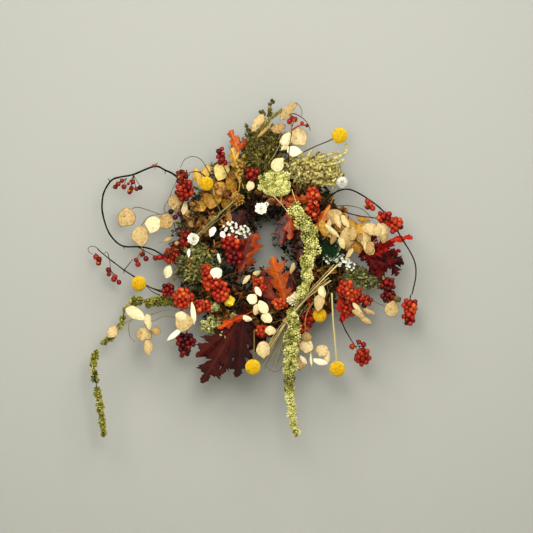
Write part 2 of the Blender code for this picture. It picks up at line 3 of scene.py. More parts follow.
import bmesh
import bpy
import numpy as np
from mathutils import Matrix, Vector


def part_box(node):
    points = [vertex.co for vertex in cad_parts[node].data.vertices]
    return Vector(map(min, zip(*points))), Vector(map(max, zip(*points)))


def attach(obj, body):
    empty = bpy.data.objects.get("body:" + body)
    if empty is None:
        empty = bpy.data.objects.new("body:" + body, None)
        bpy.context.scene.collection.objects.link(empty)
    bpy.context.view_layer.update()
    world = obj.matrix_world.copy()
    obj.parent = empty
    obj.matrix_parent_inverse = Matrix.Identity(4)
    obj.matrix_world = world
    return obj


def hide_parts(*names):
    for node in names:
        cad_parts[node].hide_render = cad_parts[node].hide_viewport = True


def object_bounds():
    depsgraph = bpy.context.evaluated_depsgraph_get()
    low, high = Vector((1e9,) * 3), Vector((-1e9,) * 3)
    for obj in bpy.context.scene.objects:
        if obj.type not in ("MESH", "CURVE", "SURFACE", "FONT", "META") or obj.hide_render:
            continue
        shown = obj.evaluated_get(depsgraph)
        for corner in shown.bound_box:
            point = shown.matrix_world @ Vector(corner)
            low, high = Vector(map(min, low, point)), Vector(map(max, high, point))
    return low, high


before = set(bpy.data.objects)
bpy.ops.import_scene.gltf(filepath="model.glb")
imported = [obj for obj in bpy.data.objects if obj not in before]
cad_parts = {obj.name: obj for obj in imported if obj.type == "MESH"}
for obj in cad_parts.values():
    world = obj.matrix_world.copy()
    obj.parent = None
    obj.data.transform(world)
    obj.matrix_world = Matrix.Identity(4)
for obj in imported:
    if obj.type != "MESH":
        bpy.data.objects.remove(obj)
cad_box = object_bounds()


# Grapevine base. Four bundles of thin, woody vine are laid in a ring and twisted round each other like
# a rope, then wound with one darker vine that stops them from springing open. The bark is dry, ridged
# and peeling, with a swollen knot wherever a side shoot was cut away.
MM = 0.001
STRAND_RADIUS = 8.5
STRAND_LAY = 13.6
STRAND_TWISTS = 3
STRANDS = ["base_strand_1", "base_strand_2", "base_strand_3", "base_strand_4"]
lows, highs = zip(*(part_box(node) for node in STRANDS))
ring_left, ring_right = min(low.x for low in lows), max(high.x for high in highs)
ring_back, ring_front = max(high.y for high in highs), min(low.y for low in lows)
ring_low, ring_high = min(low.z for low in lows), max(high.z for high in highs)
RING_MIDDLE = np.array([(ring_left + ring_right) / 2, 0.0, (ring_low + ring_high) / 2])
RING_RADIUS = 0.5 * (ring_right - ring_left) / MM - STRAND_LAY - STRAND_RADIUS
BUNDLE_OUT = -0.5 * (ring_back + ring_front) / MM


def place(across, up, out):
    """A place on the wreath in metres, from mm across and up from the ring's middle and out from the wall."""
    return RING_MIDDLE + np.array([across, -out, up]) * MM


def line(points, gap=2.5):
    """A smooth curve through places on the wreath, as points about gap mm apart."""
    spots = np.array([place(*point) for point in points])
    ends = np.vstack([2 * spots[0] - spots[1], spots, 2 * spots[-1] - spots[-2]])
    runs = []
    for a, b, c, d in zip(ends, ends[1:], ends[2:], ends[3:]):
        steps = max(2, int(np.linalg.norm(c - b) / (gap * MM)))
        t = np.arange(steps)[:, None] / steps
        square, cube = 2 * a - 5 * b + 4 * c - d, 3 * b - a - 3 * c + d
        runs.append(0.5 * (2 * b + (c - a) * t + square * t**2 + cube * t**3))
    return np.vstack(runs + [spots[-1:]])


def unit(vectors):
    vectors = np.asarray(vectors, float)
    return vectors / np.maximum(np.linalg.norm(vectors, axis=-1, keepdims=True), 1e-9)


class Work:
    """Shapes gathered for one piece, with the grain that patterns follow and a tone, dark 0 to light 1."""

    def __init__(self, seed):
        self.dice = np.random.default_rng(seed)
        self.spots, self.faces, self.skins, self.grains, self.tones = [], [], [], [], []
        self.count = 0

    def add(self, spots, faces, grain, tone=0.5, skin=0):
        self.spots.append(spots)
        self.faces += (np.asarray(faces) + self.count).tolist()
        self.skins += [skin] * len(faces)
        self.grains.append(grain)
        self.tones.append(np.broadcast_to(tone, len(spots)))
        self.count += len(spots)

    def finish(self, name, skins, nodes=(), body="wreath"):
        mesh = bpy.data.meshes.new(name)
        mesh.from_pydata(np.vstack(self.spots).tolist(), [], self.faces)
        mesh.polygons.foreach_set("material_index", self.skins)
        grain = mesh.attributes.new("grain", "FLOAT_VECTOR", "POINT")
        grain.data.foreach_set("vector", np.vstack(self.grains).astype(np.float32).ravel())
        tone = mesh.attributes.new("tone", "FLOAT", "POINT")
        tone.data.foreach_set("value", np.concatenate(self.tones).astype(np.float32))
        for skin in skins:
            mesh.materials.append(skin)
        mesh.shade_smooth()
        piece = bpy.data.objects.new(name, mesh)
        bpy.context.scene.collection.objects.link(piece)
        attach(piece, body)
        if nodes:
            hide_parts(*nodes)
        return piece


def tube(work, route, radius, skin=0, tone=0.5, tip=0.6, sides=6, rough=0.0, closed=False):
    """A stem along a route; radius in mm, tip the share of it left at the end, rough how ridged it is."""
    route = np.asarray(route)
    count = len(route)
    ahead = unit(np.roll(route, -1, 0) - np.roll(route, 1, 0) if closed else np.gradient(route, axis=0))
    side = np.empty_like(route)
    side[0] = unit(np.cross(ahead[0], (0.31, 0.11, 0.94)))
    for k in range(1, count):
        side[k] = unit(side[k - 1] - ahead[k] * (side[k - 1] @ ahead[k]))
    miss = 0.0
    if closed:
        last = unit(side[-1] - ahead[0] * (side[-1] @ ahead[0]))
        miss = math.atan2(np.cross(last, side[0]) @ ahead[0], last @ side[0])
    over = np.cross(ahead, side)
    share = np.arange(count) / max(count - 1, 1)
    angle = 2 * math.pi * np.arange(sides)[None] / sides + miss * share[:, None]
    narrowing = np.ones(count) if closed else 1 - (1 - tip) * share
    reach = np.repeat((radius * MM * narrowing)[:, None], sides, axis=1)
    if rough:
        phase = work.dice.uniform(0, 6, 4)
        bends = np.sin(3 * angle + phase[0] + 8 * math.pi * share[:, None])
        bends += np.sin(2 * angle + phase[1] - 14 * math.pi * share[:, None])
        knots = np.sin(math.pi * (count // 14 + 1) * share + phase[2])[:, None] ** 20
        if closed:
            knots = np.sin(2 * math.pi * 3 * share + phase[2])[:, None] ** 60
        ridges = 1 + rough * (0.5 * bends + 1.6 * knots)
        reach = reach * (ridges + rough * work.dice.normal(0, 0.35, reach.shape))
    outward = np.cos(angle)[..., None] * side[:, None] + np.sin(angle)[..., None] * over[:, None]
    spots = route[:, None] + reach[..., None] * outward
    length = np.concatenate([[0], np.cumsum(np.linalg.norm(np.diff(route, axis=0), axis=1))]) / MM
    grain = np.stack([np.broadcast_to(length[:, None], angle.shape), radius * np.cos(angle),
                      radius * np.sin(angle)], -1)
    offset = work.dice.uniform(0, 400, 3)
    ring = np.arange(count * sides).reshape(count, sides)
    lower = ring if closed else ring[:-1]
    upper = np.roll(ring, -1, 0) if closed else ring[1:]
    turn = np.roll(np.arange(sides), -1)
    quads = np.stack([lower, lower[:, turn], upper[:, turn], upper], -1).reshape(-1, 4)
    work.add(spots.reshape(-1, 3), quads, grain.reshape(-1, 3) + offset, tone, skin)
    if closed:
        return
    first = work.count - count * sides
    poles = np.array([route[0] - ahead[0] * reach[0, 0] * 0.5, route[-1] + ahead[-1] * reach[-1, 0] * 0.7])
    work.add(poles, np.empty((0, 3), int), np.array([offset, offset]), tone, skin)
    start, end = work.count - 2, work.count - 1
    tops = first + (count - 1) * sides
    for j in range(sides):
        following = (j + 1) % sides
        work.faces.append([start, first + following, first + j])
        work.faces.append([end, tops + j, tops + following])
    work.skins += [skin] * (2 * sides)


def skin(name, tones, mottle=0.25, mottle_size=2.0, stretch=(1, 1, 1), rough=(0.5, 0.7), bump=0.3,
         bump_size=0.6, coat=0.0, sheen=0.0, glow=0.0, metallic=0.0):
    """A finish whose colour goes through tones, darkest first; each is red, green and blue out of 255."""
    material = bpy.data.materials.new(name)
    material.use_nodes = True
    nodes, wire = material.node_tree.nodes, material.node_tree.links.new
    shader = nodes["Principled BSDF"]
    grain = nodes.new("ShaderNodeAttribute")
    grain.attribute_name = "grain"
    along = nodes.new("ShaderNodeMapping")
    along.inputs["Scale"].default_value = stretch
    wire(grain.outputs["Vector"], along.inputs["Vector"])
    patches = nodes.new("ShaderNodeTexNoise")
    patches.inputs["Scale"].default_value = 1 / mottle_size
    patches.inputs["Detail"].default_value = 4
    patches.inputs["Roughness"].default_value = 0.65
    wire(along.outputs["Vector"], patches.inputs["Vector"])
    spread = nodes.new("ShaderNodeMath")
    spread.operation = "MULTIPLY_ADD"
    spread.inputs[1].default_value = 2 * mottle
    spread.inputs[2].default_value = -mottle
    wire(patches.outputs["Fac"], spread.inputs[0])
    tone = nodes.new("ShaderNodeAttribute")
    tone.attribute_name = "tone"
    total = nodes.new("ShaderNodeMath")
    total.operation = "ADD"
    wire(tone.outputs["Fac"], total.inputs[0])
    wire(spread.outputs["Value"], total.inputs[1])
    ramp = nodes.new("ShaderNodeValToRGB")
    while len(ramp.color_ramp.elements) < len(tones):
        ramp.color_ramp.elements.new(0.5)
    for index, (stop, colour) in enumerate(zip(ramp.color_ramp.elements, tones)):
        stop.position = index / (len(tones) - 1)
        stop.color = (*[(c / 255) ** 2.2 for c in colour], 1)
    wire(total.outputs["Value"], ramp.inputs["Fac"])
    wire(ramp.outputs["Color"], shader.inputs["Base Color"])
    dull = nodes.new("ShaderNodeMapRange")
    dull.inputs["To Min"].default_value, dull.inputs["To Max"].default_value = rough
    wire(patches.outputs["Fac"], dull.inputs["Value"])
    wire(dull.outputs["Result"], shader.inputs["Roughness"])
    pits = nodes.new("ShaderNodeTexNoise")
    pits.inputs["Scale"].default_value = 1 / bump_size
    pits.inputs["Detail"].default_value = 3
    wire(along.outputs["Vector"], pits.inputs["Vector"])
    lift = nodes.new("ShaderNodeBump")
    lift.inputs["Strength"].default_value = bump
    lift.inputs["Distance"].default_value = 0.3 * MM
    wire(pits.outputs["Fac"], lift.inputs["Height"])
    wire(lift.outputs["Normal"], shader.inputs["Normal"])
    shader.inputs["Specular IOR Level"].default_value = 0.25 + coat
    shader.inputs["Metallic"].default_value = metallic
    shader.inputs["Coat Weight"].default_value = coat
    shader.inputs["Coat Roughness"].default_value = 0.15
    shader.inputs["Sheen Weight"].default_value = sheen
    shader.inputs["Subsurface Weight"].default_value = glow
    shader.inputs["Subsurface Scale"].default_value = 2 * MM
    return material


bark = skin("grapevine_bark", [(24, 17, 11), (66, 48, 32), (112, 84, 58), (165, 132, 96)], 0.3, 3.0,
            (0.12, 1, 1), (0.75, 0.95), 0.9, 0.7)
dark_bark = skin("dark_vine_bark", [(10, 9, 7), (26, 21, 16), (52, 40, 30), (98, 76, 55)], 0.25, 2.0,
                 (0.2, 1, 1), (0.55, 0.85), 0.6, 0.5)


def bundle_point(ring_angle, lay, lay_angle):
    """Points at a lay, in mm, round the bundle's centre line; the angles are arrays."""
    outward = np.stack([np.cos(ring_angle), 0 * ring_angle, np.sin(ring_angle)], -1)
    centre = np.array([0, -BUNDLE_OUT, 0]) + outward * RING_RADIUS
    swing = np.cos(lay_angle)[..., None] * outward + np.sin(lay_angle)[..., None] * np.array([0, 1, 0])
    return RING_MIDDLE + (centre + np.asarray(lay)[..., None] * swing) * MM


VINES_IN_A_STRAND = 6
STRAND_STEPS = 110
for index, node in enumerate(STRANDS):
    work = Work(20 + index)
    ring_angle = 2 * math.pi * np.arange(STRAND_STEPS) / STRAND_STEPS
    strand_angle = index * math.pi / 2 + STRAND_TWISTS * ring_angle
    route = bundle_point(ring_angle, np.full(STRAND_STEPS, STRAND_LAY), strand_angle)
    for vine in range(VINES_IN_A_STRAND):
        vine_angle = vine * 2 * math.pi / VINES_IN_A_STRAND + 5 * ring_angle
        sway = 0.7 * np.sin(4 * ring_angle + vine * 2.1) + 0.5 * np.sin(9 * ring_angle + vine)
        offset = bundle_point(ring_angle, 5.0 + sway, vine_angle)
        offset = offset - bundle_point(ring_angle, 0 * ring_angle, vine_angle)
        tube(work, route + offset, work.dice.uniform(2.4, 3.4), 0, work.dice.uniform(0.25, 0.75), sides=8,
             rough=0.16, closed=True)
    tube(work, route, 3.0, 0, 0.2, closed=True)
    for shoot in range(7):
        start = work.dice.integers(0, 100)
        angle = ring_angle[start] + np.linspace(0, 0.55, 18)
        lift = 20.5 + 5.5 * np.linspace(0, 1, 18) ** 2
        tube(work, bundle_point(angle, lift, strand_angle[start] + 4 * (angle - angle[0])), 1.2, 0,
             work.dice.uniform(0.3, 0.9), tip=0.3, sides=5, rough=0.2)
    work.finish(node + "_vines", [bark], [node])

work = Work(30)
BINDING_LAY = 27.2
BINDING_TURNS = 8
ring_angle = 2 * math.pi * np.arange(420) / 420
tube(work, bundle_point(ring_angle, BINDING_LAY + 0.5 * np.sin(23 * ring_angle),
                        -BINDING_TURNS * ring_angle), 2.1, 0, 0.5, sides=8, rough=0.14, closed=True)
work.finish("binding_vine_wound", [dark_bark], ["binding_vine"])


# Hanger. A band of florist's wire is drawn round the top of the base and its ends are twisted together
# into a small eye; a second, closed loop of the same wire hangs in the eye and goes over the nail.
wire_metal = skin("annealed_wire", [(48, 42, 36), (92, 84, 74), (150, 140, 126)], 0.2, 1.5, (0.3, 1, 1),
                  (0.3, 0.5), 0.1, 0.4, metallic=0.9)
band_low, band_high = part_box("hanger_band")
loop_low, loop_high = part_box("hanger_loop")
WIRE = 1.0
EYE_RADIUS = 4.0
BAND_RADIUS = 32.0
band_middle = RING_MIDDLE + np.array([0, -BUNDLE_OUT, RING_RADIUS]) * MM
eye_middle = np.array([0, 0.5 * (loop_low.y + loop_high.y), band_high.z - (EYE_RADIUS + WIRE) * MM])
around = 2 * math.pi * np.arange(72) / 72
rim = np.stack([0 * around, np.cos(around), np.sin(around)], -1)
work = Work(31)
tube(work, band_middle + rim * BAND_RADIUS * MM, WIRE, sides=8, closed=True)
tube(work, eye_middle + rim[::3] * EYE_RADIUS * MM, WIRE, sides=8, closed=True)
foot = band_middle + BAND_RADIUS * MM * np.array([0, math.cos(math.radians(47)),
                                                  math.sin(math.radians(47))])
top = eye_middle + np.array([0, -0.4, -EYE_RADIUS]) * MM
turns = np.linspace(0, 1, 40)[:, None]
for half in (0, math.pi):
    coil = np.stack([np.cos(14 * turns[:, 0] + half), np.sin(14 * turns[:, 0] + half), 0 * turns[:, 0]], -1)
    tube(work, foot + (top - foot) * turns + coil * 0.75 * MM, 0.8, tip=1.0, sides=6)
work.finish("hanger_band_wire", [wire_metal], ["hanger_band"])
loop_middle = np.array((loop_low + loop_high) / 2)
loop_half = np.array((loop_high - loop_low) / 2) - WIRE * MM
work = Work(32)
tube(work, loop_middle + np.stack([np.cos(around), 0 * around, np.sin(around)], -1) * loop_half, WIRE,
     sides=8, closed=True)
work.finish("hanger_loop_wire", [wire_metal], ["hanger_loop"], "hanger")


# Tucked greenery. Dry cedar, thyme and twigs are pushed in between the base's strands all the way round,
# so that no bare vine shows between the flowers; only a narrow opening stays free in the middle.
def facing(ahead, dice):
    """Turns that point Z along each direction, spun about it at random."""
    ahead = unit(ahead)
    helper = np.where(np.abs(ahead[:, 2:]) < 0.9, np.array([[0, 0, 1.0]]), np.array([[1.0, 0, 0]]))
    side = unit(np.cross(helper, ahead))
    over = np.cross(ahead, side)
    spin = dice.uniform(0, 2 * math.pi, (len(ahead), 1))
    return np.stack([side * np.cos(spin) + over * np.sin(spin), over * np.cos(spin) - side * np.sin(spin),
                     ahead], -1)


def scatter(work, form, centres, sizes, turns, tone=0.5, skin=0):
    """Copies of one small form, each with its size in mm along its own X, Y and Z, its turn and its tone."""
    spots, faces = form
    count = len(centres)
    sizes = np.broadcast_to(sizes, (count, 3))
    local = spots[None] * sizes[:, None]
    world = np.einsum("nij,nvj->nvi", turns, local) * MM + centres[:, None]
    numbers = faces[None] + (np.arange(count) * len(spots))[:, None, None]
    grain = local + work.dice.uniform(0, 400, (count, 1, 3))
    tones = np.repeat(np.broadcast_to(tone, count), len(spots))
    work.add(world.reshape(-1, 3), numbers.reshape(-1, faces.shape[1]), grain.reshape(-1, 3), tones, skin)


def round_form(detail):
    ball = bmesh.new()
    bmesh.ops.create_icosphere(ball, subdivisions=detail, radius=1)
    spots = np.array([v.co for v in ball.verts])
    faces = np.array([[v.index for v in face.verts] for face in ball.faces])
    ball.free()
    return spots, faces


def round_a_ball(count, turn=2.4):
    """Directions spread evenly round a ball, on a spiral that turns by a fixed angle at each step."""
    number = np.arange(count) + 0.5
    height = 1 - 2 * number / count
    level, angle = np.sqrt(1 - height**2), number * turn
    return np.stack([level * np.cos(angle), level * np.sin(angle), height], -1)


def along_route(route, share):
    """Points at given shares of a route's length, and the way that it heads there."""
    where = share * (len(route) - 1.001)
    low = where.astype(int)
    step = route[low + 1] - route[low]
    return route[low] + step * (where - low)[:, None], unit(step)


floret_bead = round_form(1)
spots, faces = round_form(1)
tall = 0.5 + 0.5 * spots[:, 2]
leaflet = (np.stack([spots[:, 0] * np.sin(math.pi * tall**0.7) ** 0.4, spots[:, 1] + 1.6 * tall**2, tall],
                    -1), faces)
spots = np.array([[0, 0, 0], [0.5, 0, 0.45], [0, 0.5, 0.4], [-0.5, 0, 0.45], [0, -0.5, 0.4],
                  [0, 0.35, 1.0]])
needle = (spots, np.array([[0, 2, 1], [0, 3, 2], [0, 4, 3], [0, 1, 4], [5, 1, 2], [5, 2, 3], [5, 3, 4],
                           [5, 4, 1]]))


def sprig(work, route, leaves, size, tone, skin=0, spread=0.9, first=0.1, form=needle, stalk=0.5,
          jitter=0.12):
    """A stem with small leaves all round it, pointing forward and out by spread, in radians."""
    tube(work, route, stalk, skin, tone - 0.1, tip=0.4, sides=4)
    spots, ahead = along_route(route, work.dice.uniform(first, 1, leaves))
    outward = work.dice.normal(0, 1, (leaves, 3))
    outward = unit(outward - ahead * np.sum(outward * ahead, 1, keepdims=True))
    bend = spread * work.dice.uniform(0.5, 1.2, (leaves, 1))
    sizes = np.array(size) * work.dice.uniform(0.7, 1.2, (leaves, 1))
    scatter(work, form, spots, sizes, facing(ahead * np.cos(bend) + outward * np.sin(bend), work.dice),
            tone + work.dice.normal(0, jitter, leaves), skin)


def bowed(work, start, end, bow=0.18, steps=7):
    """A slightly bowed route between two points in metres."""
    t = np.linspace(0, 1, steps)[:, None]
    aside = work.dice.normal(0, 1, 3) * np.linalg.norm(end - start) * bow
    return start + (end - start) * t + aside * np.sin(math.pi * t)


GREENS = [(12, 12, 6), (38, 35, 16), (74, 68, 30), (116, 106, 48), (162, 150, 82), (214, 208, 150)]
greens = skin("dry_greens", GREENS, 0.22, 1.5, (1, 1, 0.3), (0.6, 0.85), 0.5, 0.4, sheen=0.1)
BROWNS = [(14, 8, 4), (44, 24, 10), (88, 52, 24), (138, 92, 46), (188, 146, 88)]
browns = skin("dry_brown_leaves", BROWNS, 0.22, 1.5, (1, 1, 0.3), (0.6, 0.85), 0.5, 0.4)
OPENING_MIDDLE = (-6, 4)
OPENING_HALF = (27, 43)
GOLDEN_SHARE = 0.618
SPRIGS = 620
LEAFY_SPRIGS = 110
TWIGS = 300
NEAREST_WALL = -0.004


def foot_on_face(angle, lay, tilt=0.0):
    """A point on the base's front face, at an angle and at a lay in mm from the bundle's middle."""
    return bundle_point(np.array([angle]), np.array([lay]), np.array([-math.pi / 2 + tilt]))[0]


def heading_out(angle):
    return np.array([math.cos(angle), 0, math.sin(angle)])


def off_the_wall(route):
    """Keep a route in front of the wall."""
    route[:, 1] = np.minimum(route[:, 1], NEAREST_WALL)
    return route


work = Work(40)
for number in range(SPRIGS):
    angle = 2 * math.pi * (number * GOLDEN_SHARE % 1)
    inward = number % 5 in (0, 2)
    foot = foot_on_face(angle, 20.0, work.dice.normal(0, 0.7))
    heading = heading_out(angle)
    if inward:
        edge = np.array([OPENING_MIDDLE[0] + OPENING_HALF[0] * math.cos(angle), 0,
                         OPENING_MIDDLE[1] + OPENING_HALF[1] * math.sin(angle)])
        spot = edge + (RING_RADIUS * 0.85 * heading - edge) * work.dice.uniform(0.05, 0.9)
    else:
        low = 0.95 + 0.27 * (math.cos(angle) < -0.4)
        spot = RING_RADIUS * work.dice.uniform(low - 0.12, low + 0.26) * heading
    spot = spot + np.array([work.dice.normal(0, 6), -work.dice.uniform(50, 70), work.dice.normal(0, 6)])
    brown = work.dice.uniform() < 0.4
    # Sprigs heading in toward the opening get darker tones: painted shade in the hollow of the ring.
    tone = work.dice.uniform(0.12, 0.42) if inward else work.dice.uniform(0.25, 0.68)
    leaf = work.dice.uniform(0.8, 1.5)
    sprig(work, off_the_wall(bowed(work, foot, RING_MIDDLE + spot * MM)), 23, (3.8 * leaf, 1.1, 6.8 * leaf),
          tone, int(brown), 0.9, 0.2)
for number in range(LEAFY_SPRIGS):
    angle = 2 * math.pi * (number * GOLDEN_SHARE % 1)
    foot = foot_on_face(angle, 22.0)
    far = work.dice.uniform(0.72, 1.3)
    spot = RING_RADIUS * far * heading_out(angle) - np.array([0, work.dice.uniform(62, 76), 0])
    sprig(work, off_the_wall(bowed(work, foot, RING_MIDDLE + spot * MM)), 9, (7.5, 1.0, 12),
          work.dice.uniform(0.45, 0.95), 1, 1.0, 0.45, leaflet)
# Near-black sprigs packed into gaps between the flowers: their darkness is painted shade in those gaps.
for gap in [(-6, 48, 58), (-19, 35, 56), (6, 51, 54), (-10, -144, 60), (3, -134, 60), (106, -96, 60),
            (131, -32, 64)]:
    away = place(*gap) - RING_MIDDLE
    foot = foot_on_face(math.atan2(away[2], away[0]), 20.0)
    for number in range(7):
        spot = place(*gap) + work.dice.normal(0, 1, 3) * np.array([7, 3, 7]) * MM
        sprig(work, off_the_wall(bowed(work, foot, spot)), 24, (3.8, 1.1, 6.5),
              work.dice.uniform(0.05, 0.35), int(work.dice.uniform() < 0.5), 0.9, 0.2)
work.finish("tucked_greenery", [greens, browns])

work = Work(41)
for number in range(TWIGS):
    low_side = number % 2 == 0
    angle = work.dice.uniform(-2.3, -0.7) if low_side else work.dice.uniform(0, 2 * math.pi)
    foot = foot_on_face(angle, 18.0)
    far = work.dice.uniform(0.8, 1.32)
    aside = angle + work.dice.normal(0, 0.4)
    spot = RING_RADIUS * far * heading_out(aside) - np.array([0, work.dice.uniform(60, 84), 0])
    pale = number % 3 != 1
    tube(work, off_the_wall(bowed(work, foot, RING_MIDDLE + spot * MM, 0.2, 12)),
         work.dice.uniform(0.35, 0.65), int(pale), work.dice.uniform(0.1, 0.75), tip=0.5, sides=5)
stalk_green = skin("dried_stalks", [(40, 34, 20), (92, 80, 46), (150, 136, 84), (206, 194, 138)], 0.2, 2.0,
                   (0.15, 1, 1), (0.6, 0.8), 0.3, 0.5)
work.finish("tucked_twigs", [dark_bark, stalk_green])


# Berries. Bittersweet berries dry glossy and slightly wrinkled, from orange red to near black, each on a
# short stalk with a dark dot at its tip; many still sit between the three orange valves of their husk.
def turned(profile, sides):
    """A round form from its profile of (radius, height), top to bottom, with a pole at each end."""
    angle = 2 * math.pi * np.arange(sides) / sides
    rings = [(r * np.cos(angle), r * np.sin(angle), 0 * angle + z) for r, z in profile[1:-1]]
    spots = np.vstack([[[0, 0, profile[0][1]]], *[np.stack(ring, -1) for ring in rings],
                       [[0, 0, profile[-1][1]]]])
    faces = []
    for j in range(sides):
        following = (j + 1) % sides
        faces.append([0, 1 + j, 1 + following, 1 + following])
        for k in range(len(rings) - 1):
            upper, lower = 1 + k * sides, 1 + (k + 1) * sides
            faces.append([upper + j, lower + j, lower + following, upper + following])
        last = 1 + (len(rings) - 1) * sides
        faces.append([len(spots) - 1, last + following, last + j, last + j])
    triangles = []
    for a, b, c, d in faces:
        triangles.append([a, b, c])
        if d not in (a, c):
            triangles.append([a, c, d])
    return spots, np.array(triangles)


berry_form = turned([(0, 0.82), (0.12, 0.90), (0.33, 0.93), (0.65, 0.77), (0.90, 0.45), (1, 0.05),
                     (0.93, -0.33), (0.70, -0.70), (0.38, -0.92), (0, -1)], 12)
spots, faces = turned([(0, 1), (0.55, 0.8), (0.9, 0.4), (1, 0), (0.85, -0.45), (0.5, -0.85), (0, -1)], 8)
tall = 0.5 + 0.5 * spots[:, 2]
petal = (np.stack([0.5 * spots[:, 0], 0.06 * spots[:, 1] + 0.5 * tall**2 - 0.18 * spots[:, 0] ** 2, tall],
                  -1), faces)
BERRY = 4.4
berry_skin = skin("berry_skin", [(30, 3, 2), (78, 9, 4), (136, 24, 8), (178, 54, 22), (210, 108, 56)], 0.34,
                  2.2, rough=(0.38, 0.65), bump=1.1, bump_size=1.6, coat=0.12)
husk_skin = skin("husk_skin", [(70, 34, 16), (140, 70, 30), (196, 118, 54), (226, 176, 110)], 0.25, 1.5,
                 rough=(0.5, 0.75), bump=0.5, bump_size=0.5)
BERRY_SKINS = [berry_skin, husk_skin, dark_bark]
FRUIT, HUSK, TWIG = 0, 1, 2


def berries(work, spots, stalk_ends, tone=0.55, size=BERRY, husks=0.35):
    """Berries at points in metres, each on a stalk from its own point on the twig."""
    spots, stalk_ends = np.asarray(spots), np.asarray(stalk_ends)
    count = len(spots)
    outward = unit(spots - stalk_ends + np.array([0, -0.0004, 0]))
    outward = unit(outward + work.dice.normal(0, 0.25, (count, 3)))
    sizes = size * work.dice.uniform(0.84, 1.1, (count, 1)) * np.array([[1, 1, 1.0]])
    tones = tone + work.dice.normal(0, 0.13, count)
    scatter(work, berry_form, spots, sizes, facing(outward, work.dice), tones, FRUIT)
    scatter(work, floret_bead, spots + outward * size * 0.9 * MM, 0.55, facing(outward, work.dice), 0.1,
            TWIG)
    for spot, foot, ahead in zip(spots, stalk_ends, outward):
        route = np.array([foot, 0.5 * (foot + spot - ahead * size * MM) + np.array([0, 0, 0.0006]),
                          spot - ahead * size * 0.8 * MM])
        tube(work, route, 0.5, TWIG, 0.8, tip=1.0, sides=4)
    husked = np.flatnonzero(work.dice.uniform(0, 1, count) < husks)
    for valve in range(3):
        turns = facing(outward[husked], work.dice)
        outer = unit(turns[:, :, 0] * math.cos(valve * 2.1) + turns[:, :, 1] * math.sin(valve * 2.1))
        ahead = unit(outward[husked] * 0.35 + outer)
        back = spots[husked] - outward[husked] * size * 0.95 * MM
        scatter(work, petal, back, (6.0, 5.0, 6.8), valve_turns(ahead, outward[husked]),
                0.55 + work.dice.normal(0, 0.2, len(husked)), HUSK)


def valve_turns(ahead, up):
    """Turns that point Z along ahead and Y as near to up as it goes."""
    side = unit(np.cross(up, ahead))
    return np.stack([side, np.cross(ahead, side), unit(ahead)], -1)


def berry_twig(work, points, count, first=0.0, reach=5.2, tone=0.55, husks=0.35, twig=0.9, size=BERRY):
    """A twig with berries crowded round it, from the share first of its length to its tip."""
    route = line(points)
    tube(work, route, twig, TWIG, 0.6, tip=0.6, sides=5, rough=0.1)
    share = first + (0.99 - first) * (np.arange(count) + 0.5) / count
    feet, ahead = along_route(route, share)
    outward = unit(np.cross(ahead, (0.3, 1, 0.2)))
    over = np.cross(ahead, outward)
    angle = (np.arange(count) * 2.4 + work.dice.uniform(0, 6))[:, None]
    outward = outward * np.cos(angle) + over * np.sin(angle)
    spots = feet + outward * reach * work.dice.uniform(0.8, 1.15, (count, 1)) * MM
    berries(work, apart(spots, feet, size), feet, tone, size, husks)


def reach_of(half):
    """A half size given across, up and out, in the order of the frame's axes."""
    return np.array([half[0], half[2], half[1]])


def berry_bunch(work, middle, half, count, foot, tone=0.55, husks=0.35, size=BERRY):
    """A dense bunch of berries filling a rounded space, half its half size in mm, on stalks from a foot."""
    fill = work.dice.uniform(0.35, 1.0, (count, 1)) ** 0.6
    spots = place(*middle) + round_a_ball(count) * fill * reach_of(half) * MM
    spots = apart(spots, spots.copy(), size)
    foot = place(*foot)
    tube(work, bowed(work, foot, place(*middle), 0.08), 1.0, TWIG, 0.5, tip=0.6, sides=5)
    berries(work, spots, spots * 0.35 + place(*middle) * 0.65, tone, size, husks)
    for spot in spots[::2]:
        tube(work, bowed(work, place(*middle), spot, 0.1, 4), 0.5, TWIG, 0.7, sides=4)


def apart(spots, home, size, pull=0.04):
    """Push berries off each other, each staying near its home."""
    own = np.eye(len(spots))
    for step in range(16):
        between = spots[:, None] - spots[None]
        distance = np.linalg.norm(between, axis=-1) + own
        push = np.clip(1.84 * size * MM - distance, 0, None) * (1 - own)
        spots = spots + 0.5 * np.sum(between / distance[..., None] * push[..., None], axis=1)
        spots = spots + pull * (home - spots)
    return spots


def twig(work, points, radius, tone, skin=TWIG, sides=5, **bark):
    tube(work, line(points), radius, skin, tone, sides=sides, **bark)


def single_berries(work, places, foot, tone=0.55, husks=0.3, size=BERRY):
    """A few berries at chosen places, their stalks meeting at one point of the twig."""
    spots = np.array([place(*p) for p in places])
    berries(work, spots, spots * 0.45 + place(*foot) * 0.55, tone, size, husks)
    for spot in spots:
        tube(work, bowed(work, place(*foot), spot * 0.45 + place(*foot) * 0.55, 0.05, 4), 0.55, TWIG, 0.7,
             sides=4)


# Long vines. Three wiry, near-black shoots are left at full length and bent into free curves at the left
# and right; side twigs along them carry berries, and short spurs show where leaves fell.
def spur(work, spot, tip):
    twig(work, [spot, tip], 0.9, 0.5, tip=0.4)


